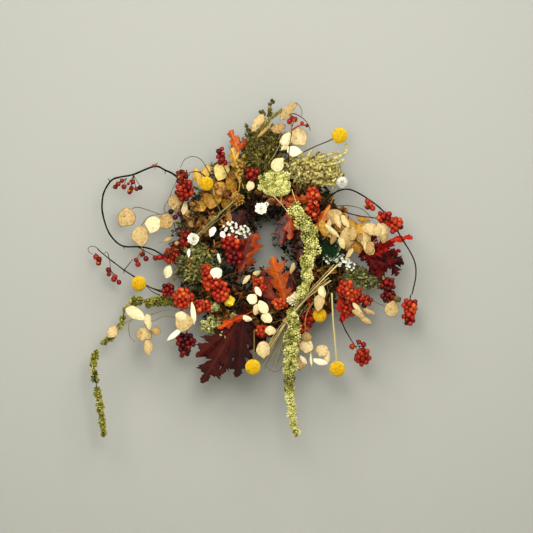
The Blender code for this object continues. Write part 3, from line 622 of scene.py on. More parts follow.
work = Work(50)
twig(work, [(-115, 83, 52), (-147, 115, 58), (-165, 125, 59), (-182, 131, 60), (-216, 118, 60),
            (-237, 114, 59), (-251, 109, 58), (-262, 93, 56), (-266, 78, 55), (-266, 58, 54),
            (-259, 32, 54), (-248, 14, 54), (-232, 3, 54), (-205, 2, 54), (-184, -3, 52), (-165, -14, 50),
            (-146, -22, 48)], 1.5, 0.25, tip=0.8, sides=8, rough=0.08)
for spot, tip in (((-254, 107, 58), (-257, 112, 58)), ((-232, 3, 54), (-231, -2, 54)),
                  ((-165, 125, 59), (-165, 118, 60)), ((-266, 61, 54), (-268, 62, 54))):
    spur(work, spot, tip)
for tip in ((-188, 132, 61), (-178, 136, 62), (-180, 127, 62), (-184, 135, 60)):
    scatter(work, petal, place(-182, 131, 61)[None], (4.5, 5, 6),
            facing((place(*tip) - place(-182, 131, 61))[None], work.dice), 0.45, HUSK)
twig(work, [(-182, 131, 60), (-179, 134, 61), (-177, 137, 62)], 0.9, 0.4, skin=HUSK)
single_berries(work, [(-234, 108, 61), (-245, 98, 62), (-231, 98, 60), (-240, 103, 64)], (-227, 112, 60),
               0.38)
single_berries(work, [(-217, 106, 61), (-219, 96, 62), (-211, 95, 60), (-205, 97, 62), (-222, 90, 60)],
               (-216, 117, 60), 0.45)
single_berries(work, [(-224, 103, 62)], (-216, 115, 60), 0.3, size=2.4)
twig(work, [(-208, 1, 54), (-195, -6, 54), (-184, -12, 54)], 0.8, 0.5)
single_berries(work, [(-202, -10, 54), (-212, -19, 55), (-209, -26, 53), (-196, -17, 55)], (-200, -2, 54),
               0.5)
single_berries(work, [(-181, -16, 54), (-174, -15, 53)], (-184, -12, 54), 0.5)
berry_bunch(work, (-155, -13, 56), (14, 11, 8), 20, (-146, -22, 48), 0.5, 0.6)
berry_bunch(work, (-144, 2, 58), (9, 9, 7), 10, (-141, -13, 50), 0.42, 0.5)
work.finish("left_loop_vine_sprays", BERRY_SKINS, ["left_loop_vine"])

work = Work(51)
twig(work, [(-154, -77, 44), (-173, -70, 46), (-194, -61, 46), (-208, -51, 46), (-232, -35, 46),
            (-256, -17, 46), (-274, -2, 44)], 1.2, 0.3, tip=0.7, sides=7, rough=0.08)
twig(work, [(-171, -77, 50), (-186, -70, 48), (-195, -62, 46)], 0.9, 0.3, sides=6)
twig(work, [(-273, -2, 44), (-278, 2, 44), (-285, 3, 43), (-290, -1, 43), (-288, -7, 43), (-282, -10, 43)],
     0.6, 0.5)
twig(work, [(-256, -16, 46), (-258, -8, 46), (-262, -6, 46), (-263, -9, 46)], 0.6, 0.5)
twig(work, [(-258, -8, 46), (-255, -19, 46), (-254, -29, 46), (-252, -38, 46)], 0.6, 0.5)
twig(work, [(-231, -35, 46), (-224, -26, 48), (-218, -18, 49)], 0.8, 0.4)
spur(work, (-232, -35, 46), (-232, -41, 46))
single_berries(work, [(-277, -14, 44), (-272, -18, 46), (-273, -24, 43)], (-278, -8, 44), 0.45, husks=0.7)
single_berries(work, [(-257, -35, 45), (-256, -42, 48), (-246, -46, 46), (-240, -55, 45), (-248, -50, 49)],
               (-252, -37, 46), 0.35)
work.finish("lower_left_vine_sprays", BERRY_SKINS, ["lower_left_vine"])

work = Work(52)
twig(work, [(80, 53, 104), (99, 82, 106), (125, 93, 108), (155, 80, 104), (187, 54, 100), (214, 13, 98),
            (232, -18, 90), (236, -43, 82), (230, -74, 78)], 1.2, 0.35, tip=0.8, sides=7, rough=0.08)
twig(work, [(93, 74, 106), (117, 59, 102), (144, 51, 100), (176, 46, 100), (205, 32, 98)], 1.1, 0.5,
     sides=6, rough=0.08)
twig(work, [(106, 66, 104), (128, 67, 102), (150, 61, 100), (166, 46, 98)], 0.7, 0.8)
single_berries(work, [(158, 74, 104), (163, 69, 105), (158, 65, 104), (166, 63, 103)], (155, 78, 104), 0.6)
berry_bunch(work, (184, 48, 102), (9, 8, 6), 12, (176, 48, 100), 0.55, 0.3)
berry_bunch(work, (202, 37, 100), (10, 11, 6), 15, (202, 35, 98), 0.7, 0.5)
work.finish("right_arc_vine_sprays", BERRY_SKINS, ["right_arc_vine"])


# Berry sprays. Thirteen short, full sprays are wired to the face of the wreath, and three of them hang
# loose below it on a thin stalk, so that they swing when the door moves.
work = Work(60)
twig(work, [(-91, 115, 80), (-98, 128, 81), (-107, 141, 82), (-120, 146, 82), (-133, 141, 82),
            (-140, 128, 83)], 0.6, 0.2)
twig(work, [(-86, 98, 78), (-101, 115, 80), (-115, 122, 82), (-131, 118, 84)], 0.9, 0.4)
berry_bunch(work, (-136, 110, 86), (8, 8, 7), 9, (-125, 117, 82), 0.42, 0.8)
berry_bunch(work, (-133, 91, 86), (12, 15, 8), 24, (-125, 109, 82), 0.5, 0.3)
single_berries(work, [(-144, 120, 84), (-138, 122, 86)], (-138, 117, 84), 0.3, husks=1.0, size=3.0)
scatter(work, petal, place(-131, 112, 88)[None], (5, 5, 13), facing(np.array([[0.2, -0.1, 1]]), work.dice),
        0.3, HUSK)
single_berries(work, [(-155, 58, 82), (-141, 55, 83), (-148, 49, 82)], (-138, 69, 84), 0.12, husks=0)
twig(work, [(-134, 77, 86), (-141, 54, 84), (-136, 35, 84), (-130, 13, 82)], 0.8, 0.4)
berry_bunch(work, (-130, 16, 82), (8, 13, 7), 13, (-131, 32, 84), 0.45, 0.4)
twig(work, [(-150, 40, 80), (-147, 27, 80), (-138, 14, 80)], 0.7, 0.3)
work.finish("upper_left_berry_spray", BERRY_SKINS, ["upper_left_berry_vine"])

work = Work(61)
berry_twig(work, [(-62, 112, 92), (-72, 134, 94), (-77, 158, 94)], 9, 0.5, 5.2, 0.5, 0.2)
berry_bunch(work, (-26, 117, 94), (8, 9, 6), 9, (-19, 106, 90), 0.5, 0.2, 4.6)
work.finish("top_left_berry_spray", BERRY_SKINS, ["top_left_berries"])

work = Work(62)
twig(work, [(32, 134, 103), (34, 160, 104), (37, 179, 105), (38, 192, 105)], 0.9, 0.7)
twig(work, [(34, 210, 105), (40, 213, 105), (50, 209, 105), (59, 202, 105), (65, 193, 105), (67, 186, 104)],
     0.9, 0.15, skin=HUSK, sides=6)
twig(work, [(38, 187, 105), (50, 194, 106), (62, 194, 106)], 1.4, 0.6, skin=FRUIT, sides=6, rough=0.2)
twig(work, [(45, 230, 102), (51, 224, 103), (54, 214, 104), (52, 208, 104)], 0.5, 0.9)
single_berries(work, [(34, 201, 106), (43, 204, 107), (38, 206, 104)], (38, 192, 105), 0.45)
single_berries(work, [(54, 198, 105), (62, 194, 105)], (50, 194, 105), 0.5, size=3.2)
work.finish("top_right_berry_spray", BERRY_SKINS, ["top_right_berries"])

work = Work(63)
berry_bunch(work, (72, 83, 96), (9, 11, 7), 16, (83, 70, 90), 0.72, 0.4)
berry_bunch(work, (72, 59, 94), (9, 13, 7), 16, (83, 58, 90), 0.62, 0.4)
work.finish("centre_top_berry_spray", BERRY_SKINS, ["centre_top_berries"])

work = Work(64)
berry_bunch(work, (-58, 8, 96), (13, 12, 9), 20, (-74, -3, 90), 0.55, 0.1, 4.8)
berry_bunch(work, (-53, -14, 95), (12, 10, 9), 18, (-74, -6, 90), 0.4, 0.1, 4.8)
work.finish("centre_left_berry_spray", BERRY_SKINS, ["centre_left_berries"])

work = Work(65)
berry_bunch(work, (-136, -80, 84), (17, 16, 9), 44, (-115, -96, 78), 0.76, 0.35, 3.9)
berry_bunch(work, (-106, -93, 82), (16, 9, 8), 20, (-115, -96, 78), 0.66, 0.35, 4.1)
berry_bunch(work, (-160, -67, 78), (9, 8, 6), 11, (-147, -77, 76), 0.3, 0.2)
work.finish("left_mass_berry_spray", BERRY_SKINS, ["left_mass_berries"])

work = Work(66)
berry_bunch(work, (-91, -53, 94), (12, 14, 8), 24, (-80, -64, 88), 0.72, 0.3)
berry_bunch(work, (-75, -70, 95), (11, 15, 8), 24, (-80, -64, 88), 0.66, 0.15)
berry_bunch(work, (-99, -35, 90), (7, 6, 5), 7, (-90, -45, 88), 0.6, 0.5)
twig(work, [(-83, -61, 93), (-69, -46, 92), (-45, -38, 90), (-16, -35, 88), (13, -38, 86), (37, -48, 84)],
     0.7, 0.9)
work.finish("left_mid_berry_spray", BERRY_SKINS, ["left_mid_berries"])

work = Work(67)
twig(work, [(18, -102, 95), (45, -118, 94), (64, -109, 92)], 0.8, 0.5)
single_berries(work, [(64, -82, 94), (66, -90, 93)], (66, -102, 92), 0.6)
berry_bunch(work, (64, -112, 92), (7, 15, 6), 16, (61, -131, 90), 0.5, 0.2)
berry_bunch(work, (56, -131, 94), (7, 8, 6), 8, (61, -131, 90), 0.62, 0.1)
single_berries(work, [(50, -152, 96)], (56, -141, 94), 0.6, husks=0)
berry_bunch(work, (-14, -62, 92), (11, 15, 6), 20, (-3, -88, 90), 0.62, 0.8, 3.8)
berry_bunch(work, (19, -88, 95), (11, 7, 6), 15, (26, -99, 92), 0.82, 0.6, 3.8)
berry_bunch(work, (-10, -133, 95), (8, 9, 6), 14, (0, -122, 92), 0.68, 0.8, 3.9)
work.finish("inner_lower_berry_spray", BERRY_SKINS, ["inner_lower_berries"])

work = Work(68)
berry_bunch(work, (123, -66, 96), (12, 13, 8), 26, (122, -83, 88), 0.74, 0.35, 4.1)
berry_bunch(work, (138, -78, 95), (12, 12, 8), 24, (122, -83, 88), 0.66, 0.35, 4.1)
berry_bunch(work, (130, -96, 93), (12, 11, 7), 20, (122, -83, 88), 0.5, 0.35, 4.1)
berry_bunch(work, (157, -85, 92), (6, 6, 5), 7, (141, -83, 90), 0.4, 0.5)
twig(work, [(115, -112, 88), (125, -134, 88), (141, -160, 88)], 1.1, 0.3, sides=6, rough=0.08)
work.finish("right_centre_berry_spray", BERRY_SKINS, ["right_centre_berries"])

work = Work(69)
berry_bunch(work, (190, -58, 74), (11, 9, 7), 15, (186, -45, 72), 0.34, 0.15)
berry_bunch(work, (193, -77, 74), (9, 9, 6), 13, (189, -54, 72), 0.26, 0.15)
work.finish("right_dark_berry_spray", BERRY_SKINS, ["right_dark_berries"])

work = Work(70)
berry_bunch(work, (227, -93, 80), (11, 9, 7), 15, (228, -75, 78), 0.6, 0.4)
berry_bunch(work, (226, -110, 80), (8, 13, 6), 13, (226, -88, 79), 0.55, 0.3)
work.finish("right_hanging_berry_spray", BERRY_SKINS, ["right_hanging_berries"],
            "right_berry_spray")

work = Work(71)
twig(work, [(141, -147, 88), (144, -157, 88)], 0.9, 0.3)
single_berries(work, [(145, -150, 89), (152, -154, 90)], (146, -158, 88), 0.5)
berry_bunch(work, (150, -174, 88), (11, 12, 8), 18, (146, -157, 88), 0.56, 0.45)
single_berries(work, [(134, -157, 88)], (146, -157, 88), 0.6)
work.finish("lower_right_berry_spray_loose", BERRY_SKINS, ["lower_right_berries"],
            "lower_right_berry_spray")

work = Work(72)
twig(work, [(-130, -131, 70), (-130, -138, 70), (-131, -147, 70)], 1.0, 0.3)
berry_bunch(work, (-131, -149, 71), (14, 11, 7), 22, (-130, -136, 70), 0.34, 0.1)
berry_bunch(work, (-134, -166, 71), (9, 6, 6), 7, (-131, -149, 70), 0.25, 0.0)
work.finish("left_hanging_berry_spray", BERRY_SKINS, ["left_hanging_berries"],
            "left_berry_spray")


# Billy buttons. Each head is a ball of several hundred tiny yellow florets, packed in spirals and dried
# hard on a straight, bare, grey-green stalk.
YELLOWS = [(120, 78, 6), (186, 134, 8), (224, 178, 16), (242, 206, 34), (250, 226, 80)]
floret_yellow = skin("billy_button_florets", YELLOWS, 0.2, 1.2, rough=(0.75, 0.95), bump=0.4, bump_size=0.4,
                     sheen=0.15)
floret_form = turned([(0, 0.66), (0.5, 1.0), (1, 0.45), (0.7, -0.4), (0, -0.6)], 5)
FLORETS = 430
GOLDEN_TURN = math.pi * (1 + 5**0.5)


def billy_button(where, points, radius, seed, tone, stalk, thick):
    work = Work(seed)
    route = line(points)
    tube(work, route, thick, 1, stalk, tip=0.9, sides=7, rough=0.05)
    outward = round_a_ball(FLORETS, GOLDEN_TURN)
    middle = route[-1]
    spots = middle + outward * (radius - 1.1 + work.dice.normal(0, 0.12, (FLORETS, 1))) * MM
    scatter(work, floret_form, spots, (1.12, 1.12, 1.25), facing(outward, work.dice),
            tone + work.dice.normal(0, 0.11, FLORETS), 0)
    # A darker ball of the floret colour sits under the florets and shows only between them: painted shade in
    # those gaps.
    scatter(work, round_form(3), middle[None], radius - 1.0, facing(np.array([[0, 0, 1]]), work.dice), 0.1,
            0)
    work.finish("billy_button_head_" + where, [floret_yellow, stalk_green],
                ["billy_button_" + where])


for number, (where, points, radius, tone, stalk, thick) in enumerate((
        ("top_right", [(56, 152, 100), (77, 162, 98), (96, 170, 94), (114, 179, 90)], 12.4, 0.66, 0.25,
         1.0),
        ("upper_left", [(-74, 54, 82), (-86, 80, 88), (-98, 102, 97)], 11.2, 0.55, 0.4, 1.0),
        ("left", [(-155, -70, 68), (-179, -66, 67), (-207, -57, 66)], 11.9, 0.6, 0.25, 1.0),
        ("bottom", [(-22, -131, 110), (-22, -160, 108), (-24, -189, 104)], 12.1, 0.66, 0.5, 1.0),
        ("lower_right", [(101, -72, 116), (103, -115, 114), (106, -147, 110), (110, -192, 102)], 12.3, 0.62,
         0.9, 1.5),
        ("inner_right", [(70, -67, 104), (78, -86, 102), (82, -107, 98)], 11.0, 0.55, 0.6, 1.0))):
    billy_button(where, points, radius, 80 + number, tone, stalk, thick)



# Amaranthus. The long tassels are limp cords covered in knobs of tiny, dry, round florets; the pale one
# falls down the front and the olive one trails off the left side. Each hangs free below its last tie.
pale_florets = skin("pale_amaranth", [(40, 38, 12), (88, 84, 30), (138, 134, 60), (186, 182, 98),
                                      (224, 220, 146)], 0.22, 1.6, rough=(0.75, 0.95), bump=0.5,
                                      bump_size=0.5, sheen=0.15)
olive_florets = skin("olive_amaranth", [(34, 34, 8), (78, 76, 20), (118, 116, 34), (154, 150, 56),
                                        (198, 192, 106)], 0.22, 1.6, rough=(0.75, 0.95), bump=0.5,
                                        bump_size=0.5, sheen=0.15)
bead_form = round_form(1)


def tassel(work, route, width, knobs, florets=15, tone=0.6, bead=1.25, skin=0, gaps=None):
    """Knobs of florets packed round a limp cord, painted shade on inward ones; width is its half width in mm,
    from top to tip.
    """
    tube(work, route, 1.0, skin, 0.15, tip=0.6, sides=5)
    share = (np.arange(knobs) + work.dice.uniform(0, 1, knobs)) / knobs
    if gaps is not None:
        share = share[[not any(a < s < b for a, b in gaps) for s in share]]
    count = len(share)
    feet, ahead = along_route(route, share)
    outward = unit(np.cross(ahead, (0.2, 1, 0.1)))
    over = np.cross(ahead, outward)
    angle = (np.arange(count) * 2.4)[:, None]
    outward = outward * np.cos(angle) + over * np.sin(angle)
    half = np.array([width(s) for s in share])[:, None] * work.dice.uniform(0.7, 1.15, (count, 1))
    knob = (half * 0.46 + 0.6) * work.dice.uniform(0.75, 1.2, (count, 1))
    middles = feet + outward * (half - knob) * MM
    knob_tone = tone + work.dice.normal(0, 0.17, count)
    round_about = round_a_ball(florets, GOLDEN_TURN)
    turns = facing(outward + work.dice.normal(0, 0.3, (count, 3)), work.dice)
    directions = np.einsum("nij,vj->nvi", turns, round_about)
    spots = middles[:, None] + directions * (knob * MM)[:, None, :]
    # Florets facing in toward the cord are painted darker and those facing out lighter: painted shade between
    # the knobs.
    tones = knob_tone[:, None] + work.dice.normal(0, 0.1, (count, florets)) + 0.26 * round_about[None, :, 2]
    flat = directions.reshape(-1, 3)
    sizes = bead * work.dice.uniform(0.7, 1.25, (len(flat), 1)) * np.array([[1, 1, 1.3]])
    scatter(work, bead_form_small, spots.reshape(-1, 3), sizes, facing(flat, work.dice), tones.ravel(),
            skin)


spots, faces = turned([(0, 1), (0.8, 0.55), (0.95, -0.3), (0, -1)], 5)
bead_form_small = (spots, faces)

def front_half_width(t):
    """The front tassel's half width in mm: swollen below its bend, thin at the end, and knobbly."""
    swell = 4.5 * math.exp(-(((t - 0.3) / 0.16) ** 2))
    return 11.0 + swell - 3.0 * t - 5.0 * max(0, 8 * t - 7) + 2.4 * math.sin(44 * t)


work = Work(90)
tassel(work, line([(40, 64, 124), (54, 43, 127), (69, 16, 130), (69, -3, 131), (61, -27, 131),
                   (61, -54, 130), (51, -72, 130), (45, -83, 129)]), front_half_width, 74, 26, 0.64, 1.7)
work.finish("front_tassel_top_length", [pale_florets], ["front_tassel_upper"])
work = Work(91)
tassel(work, line([(38, -98, 128), (38, -110, 128), (42, -125, 128), (37, -150, 128), (37, -173, 128),
                   (34, -195, 128)]), lambda t: 4 + 7.5 * min(1, 6 * t) + 2.4 * math.sin(30 * t), 52, 24,
                   0.64, 1.65)
tassel(work, line([(34, -189, 128), (34, -208, 128), (34, -227, 128)]), lambda t: 8.2, 34, 17, 0.3, 1.3)
tassel(work, line([(34, -222, 128), (35, -237, 128), (38, -262, 128), (41, -282, 128), (46, -293, 128)]),
       lambda t: 8.0 - 2.8 * t + 1.2 * math.sin(34 * t), 52, 16, 0.76, 1.45)
work.finish("front_tassel_free_length", [pale_florets], ["front_tassel_lower"],
            "front_tassel")
work = Work(92)
tassel(work, line([(-147, -88, 64), (-160, -85, 64), (-178, -85, 65), (-194, -88, 66)]),
       lambda t: 9.5 - 2 * t, 36, 16, 0.46, 1.5)
tassel(work, line([(-203, -86, 66), (-208, -83, 66), (-219, -88, 66)]), lambda t: 7.5, 15, 16, 0.52, 1.5)
tassel(work, line([(-222, -93, 66), (-230, -102, 66), (-234, -118, 66), (-240, -131, 66), (-253, -144, 66),
                   (-264, -152, 66)]), lambda t: 5.4 + 1.3 * math.sin(26 * t), 34, 13, 0.5, 1.4,
                   gaps=[(0.17, 0.27), (0.52, 0.6)])
work.finish("left_tassel_top_length", [olive_florets], ["left_tassel_upper"])
work = Work(93)
tassel(work, line([(-274, -165, 66), (-276, -170, 66), (-280, -182, 66), (-278, -202, 66), (-275, -218, 66),
                   (-274, -230, 66), (-270, -246, 66), (-266, -274, 66), (-262, -299, 66)]),
                   lambda t: (3.5 + 3.4 * min(1, 10 * t) - 1.7 * t) * (1 + 0.16 * math.sin(40 * t)), 74, 13,
                   0.52, 1.4, gaps=[(0.36, 0.45), (0.19, 0.22)])
work.finish("left_tassel_free_length", [olive_florets], ["left_tassel_lower"],
            "left_tassel")

work = Work(94)
HEAD_LUMPS = 26
foot, middle = place(16, 83, 82), place(13, 107, 90)
for number in range(HEAD_LUMPS):
    height = 1 - 2 * (number + 0.5) / HEAD_LUMPS
    level, angle = math.sqrt(1 - height**2), number * 2.4
    outward = np.array([level * math.cos(angle), -0.8 * abs(level * math.sin(angle)) - 0.1, height])
    lump = middle + outward * np.array([26, 13, 22]) * work.dice.uniform(0.6, 1.12) * MM
    tassel(work, bowed(work, foot + (lump - foot) * 0.5, lump, 0.1, 6), lambda t: 3.5 + 3.5 * t, 9, 18,
           0.8 + work.dice.normal(0, 0.12), 1.6)
    tube(work, bowed(work, foot, foot + (lump - foot) * 0.5, 0.05, 4), 1.0, 0, 0.5, sides=5)
tube(work, line([(14, 93, 88), (21, 80, 85), (19, 67, 82)]), 1.4, 0, 0.8, sides=6)
tube(work, line([(5, 86, 98), (19, 72, 104), (35, 53, 108)]), 0.7, 0, 0.85, sides=5)
tube(work, line([(38, 93, 98), (43, 77, 104), (48, 61, 108)]), 0.6, 0, 0.9, sides=5)
work.finish("pale_amaranth_knobs", [pale_florets], ["pale_amaranth_head"])


# Plume, cedar, pine and moss. Feathery dry sprays are layered behind the flowers: a yellow plume at the
# upper right, dark cedar at the top, a pine tuft by the tassel, and pads of reindeer moss at the sides.
def ball_step(number, count):
    """The direction of one step out of count, on a spiral round a ball."""
    height = 1 - 2 * (number + 0.5) / count
    level, angle = math.sqrt(1 - height**2), number * 2.4
    return level * math.cos(angle), level * math.sin(angle), height


def bush(work, foot, middle, half, sprigs, leaves, size, tone, skin=0, spread=0.9, bow=0.15, form=needle,
         first=0.25):
    """Sprigs that fan out from a foot and end all over a rounded clump; half is its half size in mm."""
    foot, middle = place(*foot), place(*middle)
    for number in range(sprigs):
        x, y, z = ball_step(number, sprigs)
        outward = np.array([x, -abs(y) + 0.1, z])
        tip = middle + outward * reach_of(half) * work.dice.uniform(0.65, 1.05) * MM
        sprig(work, bowed(work, foot, tip, bow), leaves, size, tone + work.dice.normal(0, 0.07), skin,
              spread, first, form)


def cloud(work, foot, middle, half, sprigs, leaves, size, tone, skin=0, reach=9.0, spread=1.1, form=needle):
    """A soft mass of short, curly sprigs heading every way out of a rounded space, on stems from a foot;
    painted shade darkens its middle.
    """
    # The inner sprigs are painted darker, as shade inside the mass.
    bush(work, foot, middle, [0.7 * h for h in half], sprigs // 8, 6, size, tone - 0.2, skin, spread)
    middle = place(*middle)
    for number in range(sprigs):
        x, y, z = ball_step(number, sprigs)
        outward = np.array([x, -0.9 * abs(y), z])
        spread_out = work.dice.uniform(0.1, 1.0) ** 0.5
        start = middle + outward * spread_out * reach_of(half) * MM
        heading = unit(outward * 0.7 + work.dice.normal(0, 0.6, 3))
        end = start + heading * reach * work.dice.uniform(0.6, 1.3) * MM
        # Sprigs starting nearer the middle are painted darker: painted shade deep in the mass.
        shade = tone + work.dice.normal(0, 0.12) - 0.25 * (1 - spread_out)
        sprig(work, bowed(work, start, end, 0.25), leaves, size, shade, skin, spread, 0.0, form, 0.35)


plume_skin = skin("yellow_plume", [(58, 52, 24), (116, 106, 52), (164, 150, 84), (206, 193, 122),
                                   (236, 228, 172)], 0.2, 1.5, (1, 1, 0.4), (0.65, 0.9), 0.4, 0.4,
                                   sheen=0.15)
work = Work(100)
cloud(work, (51, 90, 70), (54, 128, 76), (26, 22, 16), 150, 15, (2.0, 1.5, 2.7), 0.62, 0, 8.0, 1.2,
      bead_form_small)
cloud(work, (58, 90, 70), (86, 123, 76), (24, 23, 15), 150, 15, (2.0, 1.5, 2.7), 0.58, 0, 8.0, 1.2,
      bead_form_small)
cloud(work, (67, 90, 70), (107, 115, 76), (12, 14, 10), 50, 13, (2.0, 1.5, 2.7), 0.5, 0, 7.0, 1.2,
      bead_form_small)
for points in ([(59, 125, 76), (77, 141, 80), (99, 150, 80), (112, 152, 78)],
               [(67, 117, 76), (90, 131, 82), (112, 136, 80), (122, 141, 78)],
               [(56, 131, 76), (66, 149, 80), (70, 157, 80)],
               [(77, 112, 76), (99, 115, 82), (117, 125, 80)],
               [(70, 106, 78), (96, 102, 82), (115, 102, 80)],
               [(99, 141, 80), (117, 147, 80), (125, 155, 78), (125, 165, 78)]):
    route = line(points)
    sprig(work, route, 90, (2.3, 1.7, 3.0), 0.66, 0, 1.5, 0.15, bead_form_small)
sprig(work, line([(109, 144, 80), (115, 131, 82), (117, 112, 84)]), 14, (1.9, 1.3, 3.0), 0.4, 0, 1.0, 0.1,
      stalk=0.9)
work.finish("plume_spray_feathers", [plume_skin], ["plume_spray"])

cedar_skin = skin("dried_cedar", [(26, 24, 10), (68, 62, 27), (116, 106, 50), (162, 148, 78),
                                  (204, 190, 118)], 0.3, 1.5, (1, 1, 0.3), (0.6, 0.85), 0.5, 0.4)
work = Work(101)
cloud(work, (-16, 83, 66), (-30, 125, 74), (20, 32, 12), 120, 22, (1.7, 0.8, 5.0), 0.5, 0, 12.0, 0.7)
cloud(work, (-10, 90, 66), (-10, 157, 74), (30, 34, 12), 240, 22, (1.7, 0.8, 5.0), 0.55, 0, 12.0, 0.7)
cloud(work, (3, 93, 66), (13, 154, 74), (18, 30, 10), 110, 22, (1.7, 0.8, 5.0), 0.46, 0, 12.0, 0.7)
for shift in range(9):
    feather = line([(-24, 166, 76), (-11, 190, 78), (3, 206, 78), (19, 218, 76)])
    fan = np.linspace(1.9, 0.3, len(feather))[:, None]
    feather = feather + np.array([1.7, 0, 1.3]) * (shift - 4) * MM * fan
    sprig(work, feather, 130, (1.9, 0.9, 5.4), 0.68 + work.dice.normal(0, 0.12), 0, 0.6, 0.05)
for points in ([(0, 192, 75), (3, 216, 75), (6, 235, 74)], [(-19, 173, 75), (-30, 186, 75), (-35, 197, 74)],
               [(-10, 186, 75), (-8, 205, 75), (-10, 218, 74)]):
    sprig(work, line(points), 22, (3.6, 1.2, 6.0), 0.5, 1, 0.9, 0.3, leaflet)
work.finish("cedar_fronds", [cedar_skin, greens], ["cedar_clump"])

pine = skin("pine_needles", [(6, 16, 10), (14, 40, 26), (36, 76, 46), (92, 118, 62), (168, 178, 118)], 0.2,
            1.5, (1, 1, 0.3), (0.5, 0.75), 0.3, 0.4)
work = Work(102)
for middle, count, tone in (((96, 8, 96), 150, 0.42), ((106, 16, 96), 90, 0.35), ((109, -6, 94), 60, 0.5)):
    foot = place(101, -22, 90)
    tips = place(*middle) + work.dice.normal(0, 1, (count, 3)) * np.array([12, 5, 11]) * MM
    for tip in tips:
        tube(work, bowed(work, foot + work.dice.normal(0, 1.5, 3) * MM, tip, 0.1, 5), 0.55, 0,
             tone + work.dice.normal(0, 0.15), tip=0.3, sides=4)
tube(work, line([(80, -26, 90), (88, -16, 91)]), 1.5, 0, 0.3, sides=6)
work.finish("pine_tuft_needles", [pine], ["pine_tuft"])

def moss(work, foot, middle, half, sprigs, tone, reach=6.0):
    cloud(work, foot, middle, half, sprigs, 12, (1.7, 1.3, 2.3), tone, 0, reach, 1.3, bead_form_small)


moss_skin = skin("reindeer_moss", [(36, 36, 16), (84, 84, 38), (132, 130, 66), (178, 176, 110),
                                   (216, 216, 166)], 0.25, 1.5, rough=(0.8, 0.95), bump=0.5, bump_size=0.5,
                                   sheen=0.2)
work = Work(103)
moss(work, (134, -54, 66), (139, -42, 74), (19, 13, 11), 88, 0.4)
moss(work, (157, -64, 66), (163, -51, 74), (20, 14, 11), 88, 0.36)
work.finish("right_moss_pad", [moss_skin], ["right_moss"])
work = Work(104)
moss(work, (-109, -22, 66), (-114, -5, 74), (18, 15, 12), 88, 0.55)
moss(work, (-99, -32, 66), (-91, -24, 74), (18, 16, 11), 80, 0.4)
moss(work, (-109, -45, 66), (-115, -38, 74), (17, 14, 10), 72, 0.45)
moss(work, (-115, -35, 62), (-134, -32, 68), (12, 20, 9), 90, 0.34, 7.0)
work.finish("left_moss_pad", [moss_skin], ["left_moss"])
work = Work(105)
moss(work, (-80, -118, 66), (-91, -126, 74), (15, 13, 10), 76, 0.68)
moss(work, (-74, -118, 66), (-74, -136, 74), (14, 12, 10), 68, 0.55)
for spot, half, tone in (((-62, -90, 84), 7.5, 0.75), ((-85, -99, 82), 7, 0.4), ((-54, -115, 82), 7, 0.35)):
    tassel(work, line([spot, (spot[0] + 1, spot[1] + 4, spot[2] - 1),
                       (spot[0] + 2, spot[1] + 8, spot[2] - 4)]), lambda t: half, 12, 26, tone, 1.3,
                       int(tone > 0.7))
    tube(work, line([(spot[0] + 2, spot[1] + 6, spot[2] - 4), (spot[0] + 6, spot[1] + 12, 64)]), 0.8, 0,
         0.5, sides=5)
work.finish("lower_left_moss_pad", [moss_skin, floret_yellow], ["lower_left_moss"])


# Seed pods. Honesty pods are coin-thin discs of papery skin with a firm rim and a short beak, and in some a
# flat seed shows as a bump; the skins dry silvery white to amber, and a few have curled.
pod_skins = []
for name, tones in (("cream_pod_paper", [(104, 76, 36), (166, 134, 80), (202, 176, 122), (228, 208, 160),
                                         (248, 236, 204)]),
                                         ("amber_pod_paper",
                                          [(88, 56, 12), (158, 112, 34), (206, 162, 68), (232, 200, 116),
                                           (246, 230, 176)])):
    pod_skins.append(skin(name, tones, 0.32, 2.4, rough=(0.4, 0.65), bump=0.5, bump_size=1.0, coat=0.08,
                          sheen=0.1, glow=0.15))
PAPER = [(0, 0.35), (0.25, 0.35), (0.5, 0.35), (0.66, 0.35), (0.78, 0.35), (0.88, 0.38), (0.95, 0.8),
         (1.0, 0), (0.95, -0.8), (0.88, -0.38), (0.72, -0.35), (0.4, -0.35), (0, -0.35)]
pod_form = turned(PAPER, 28)


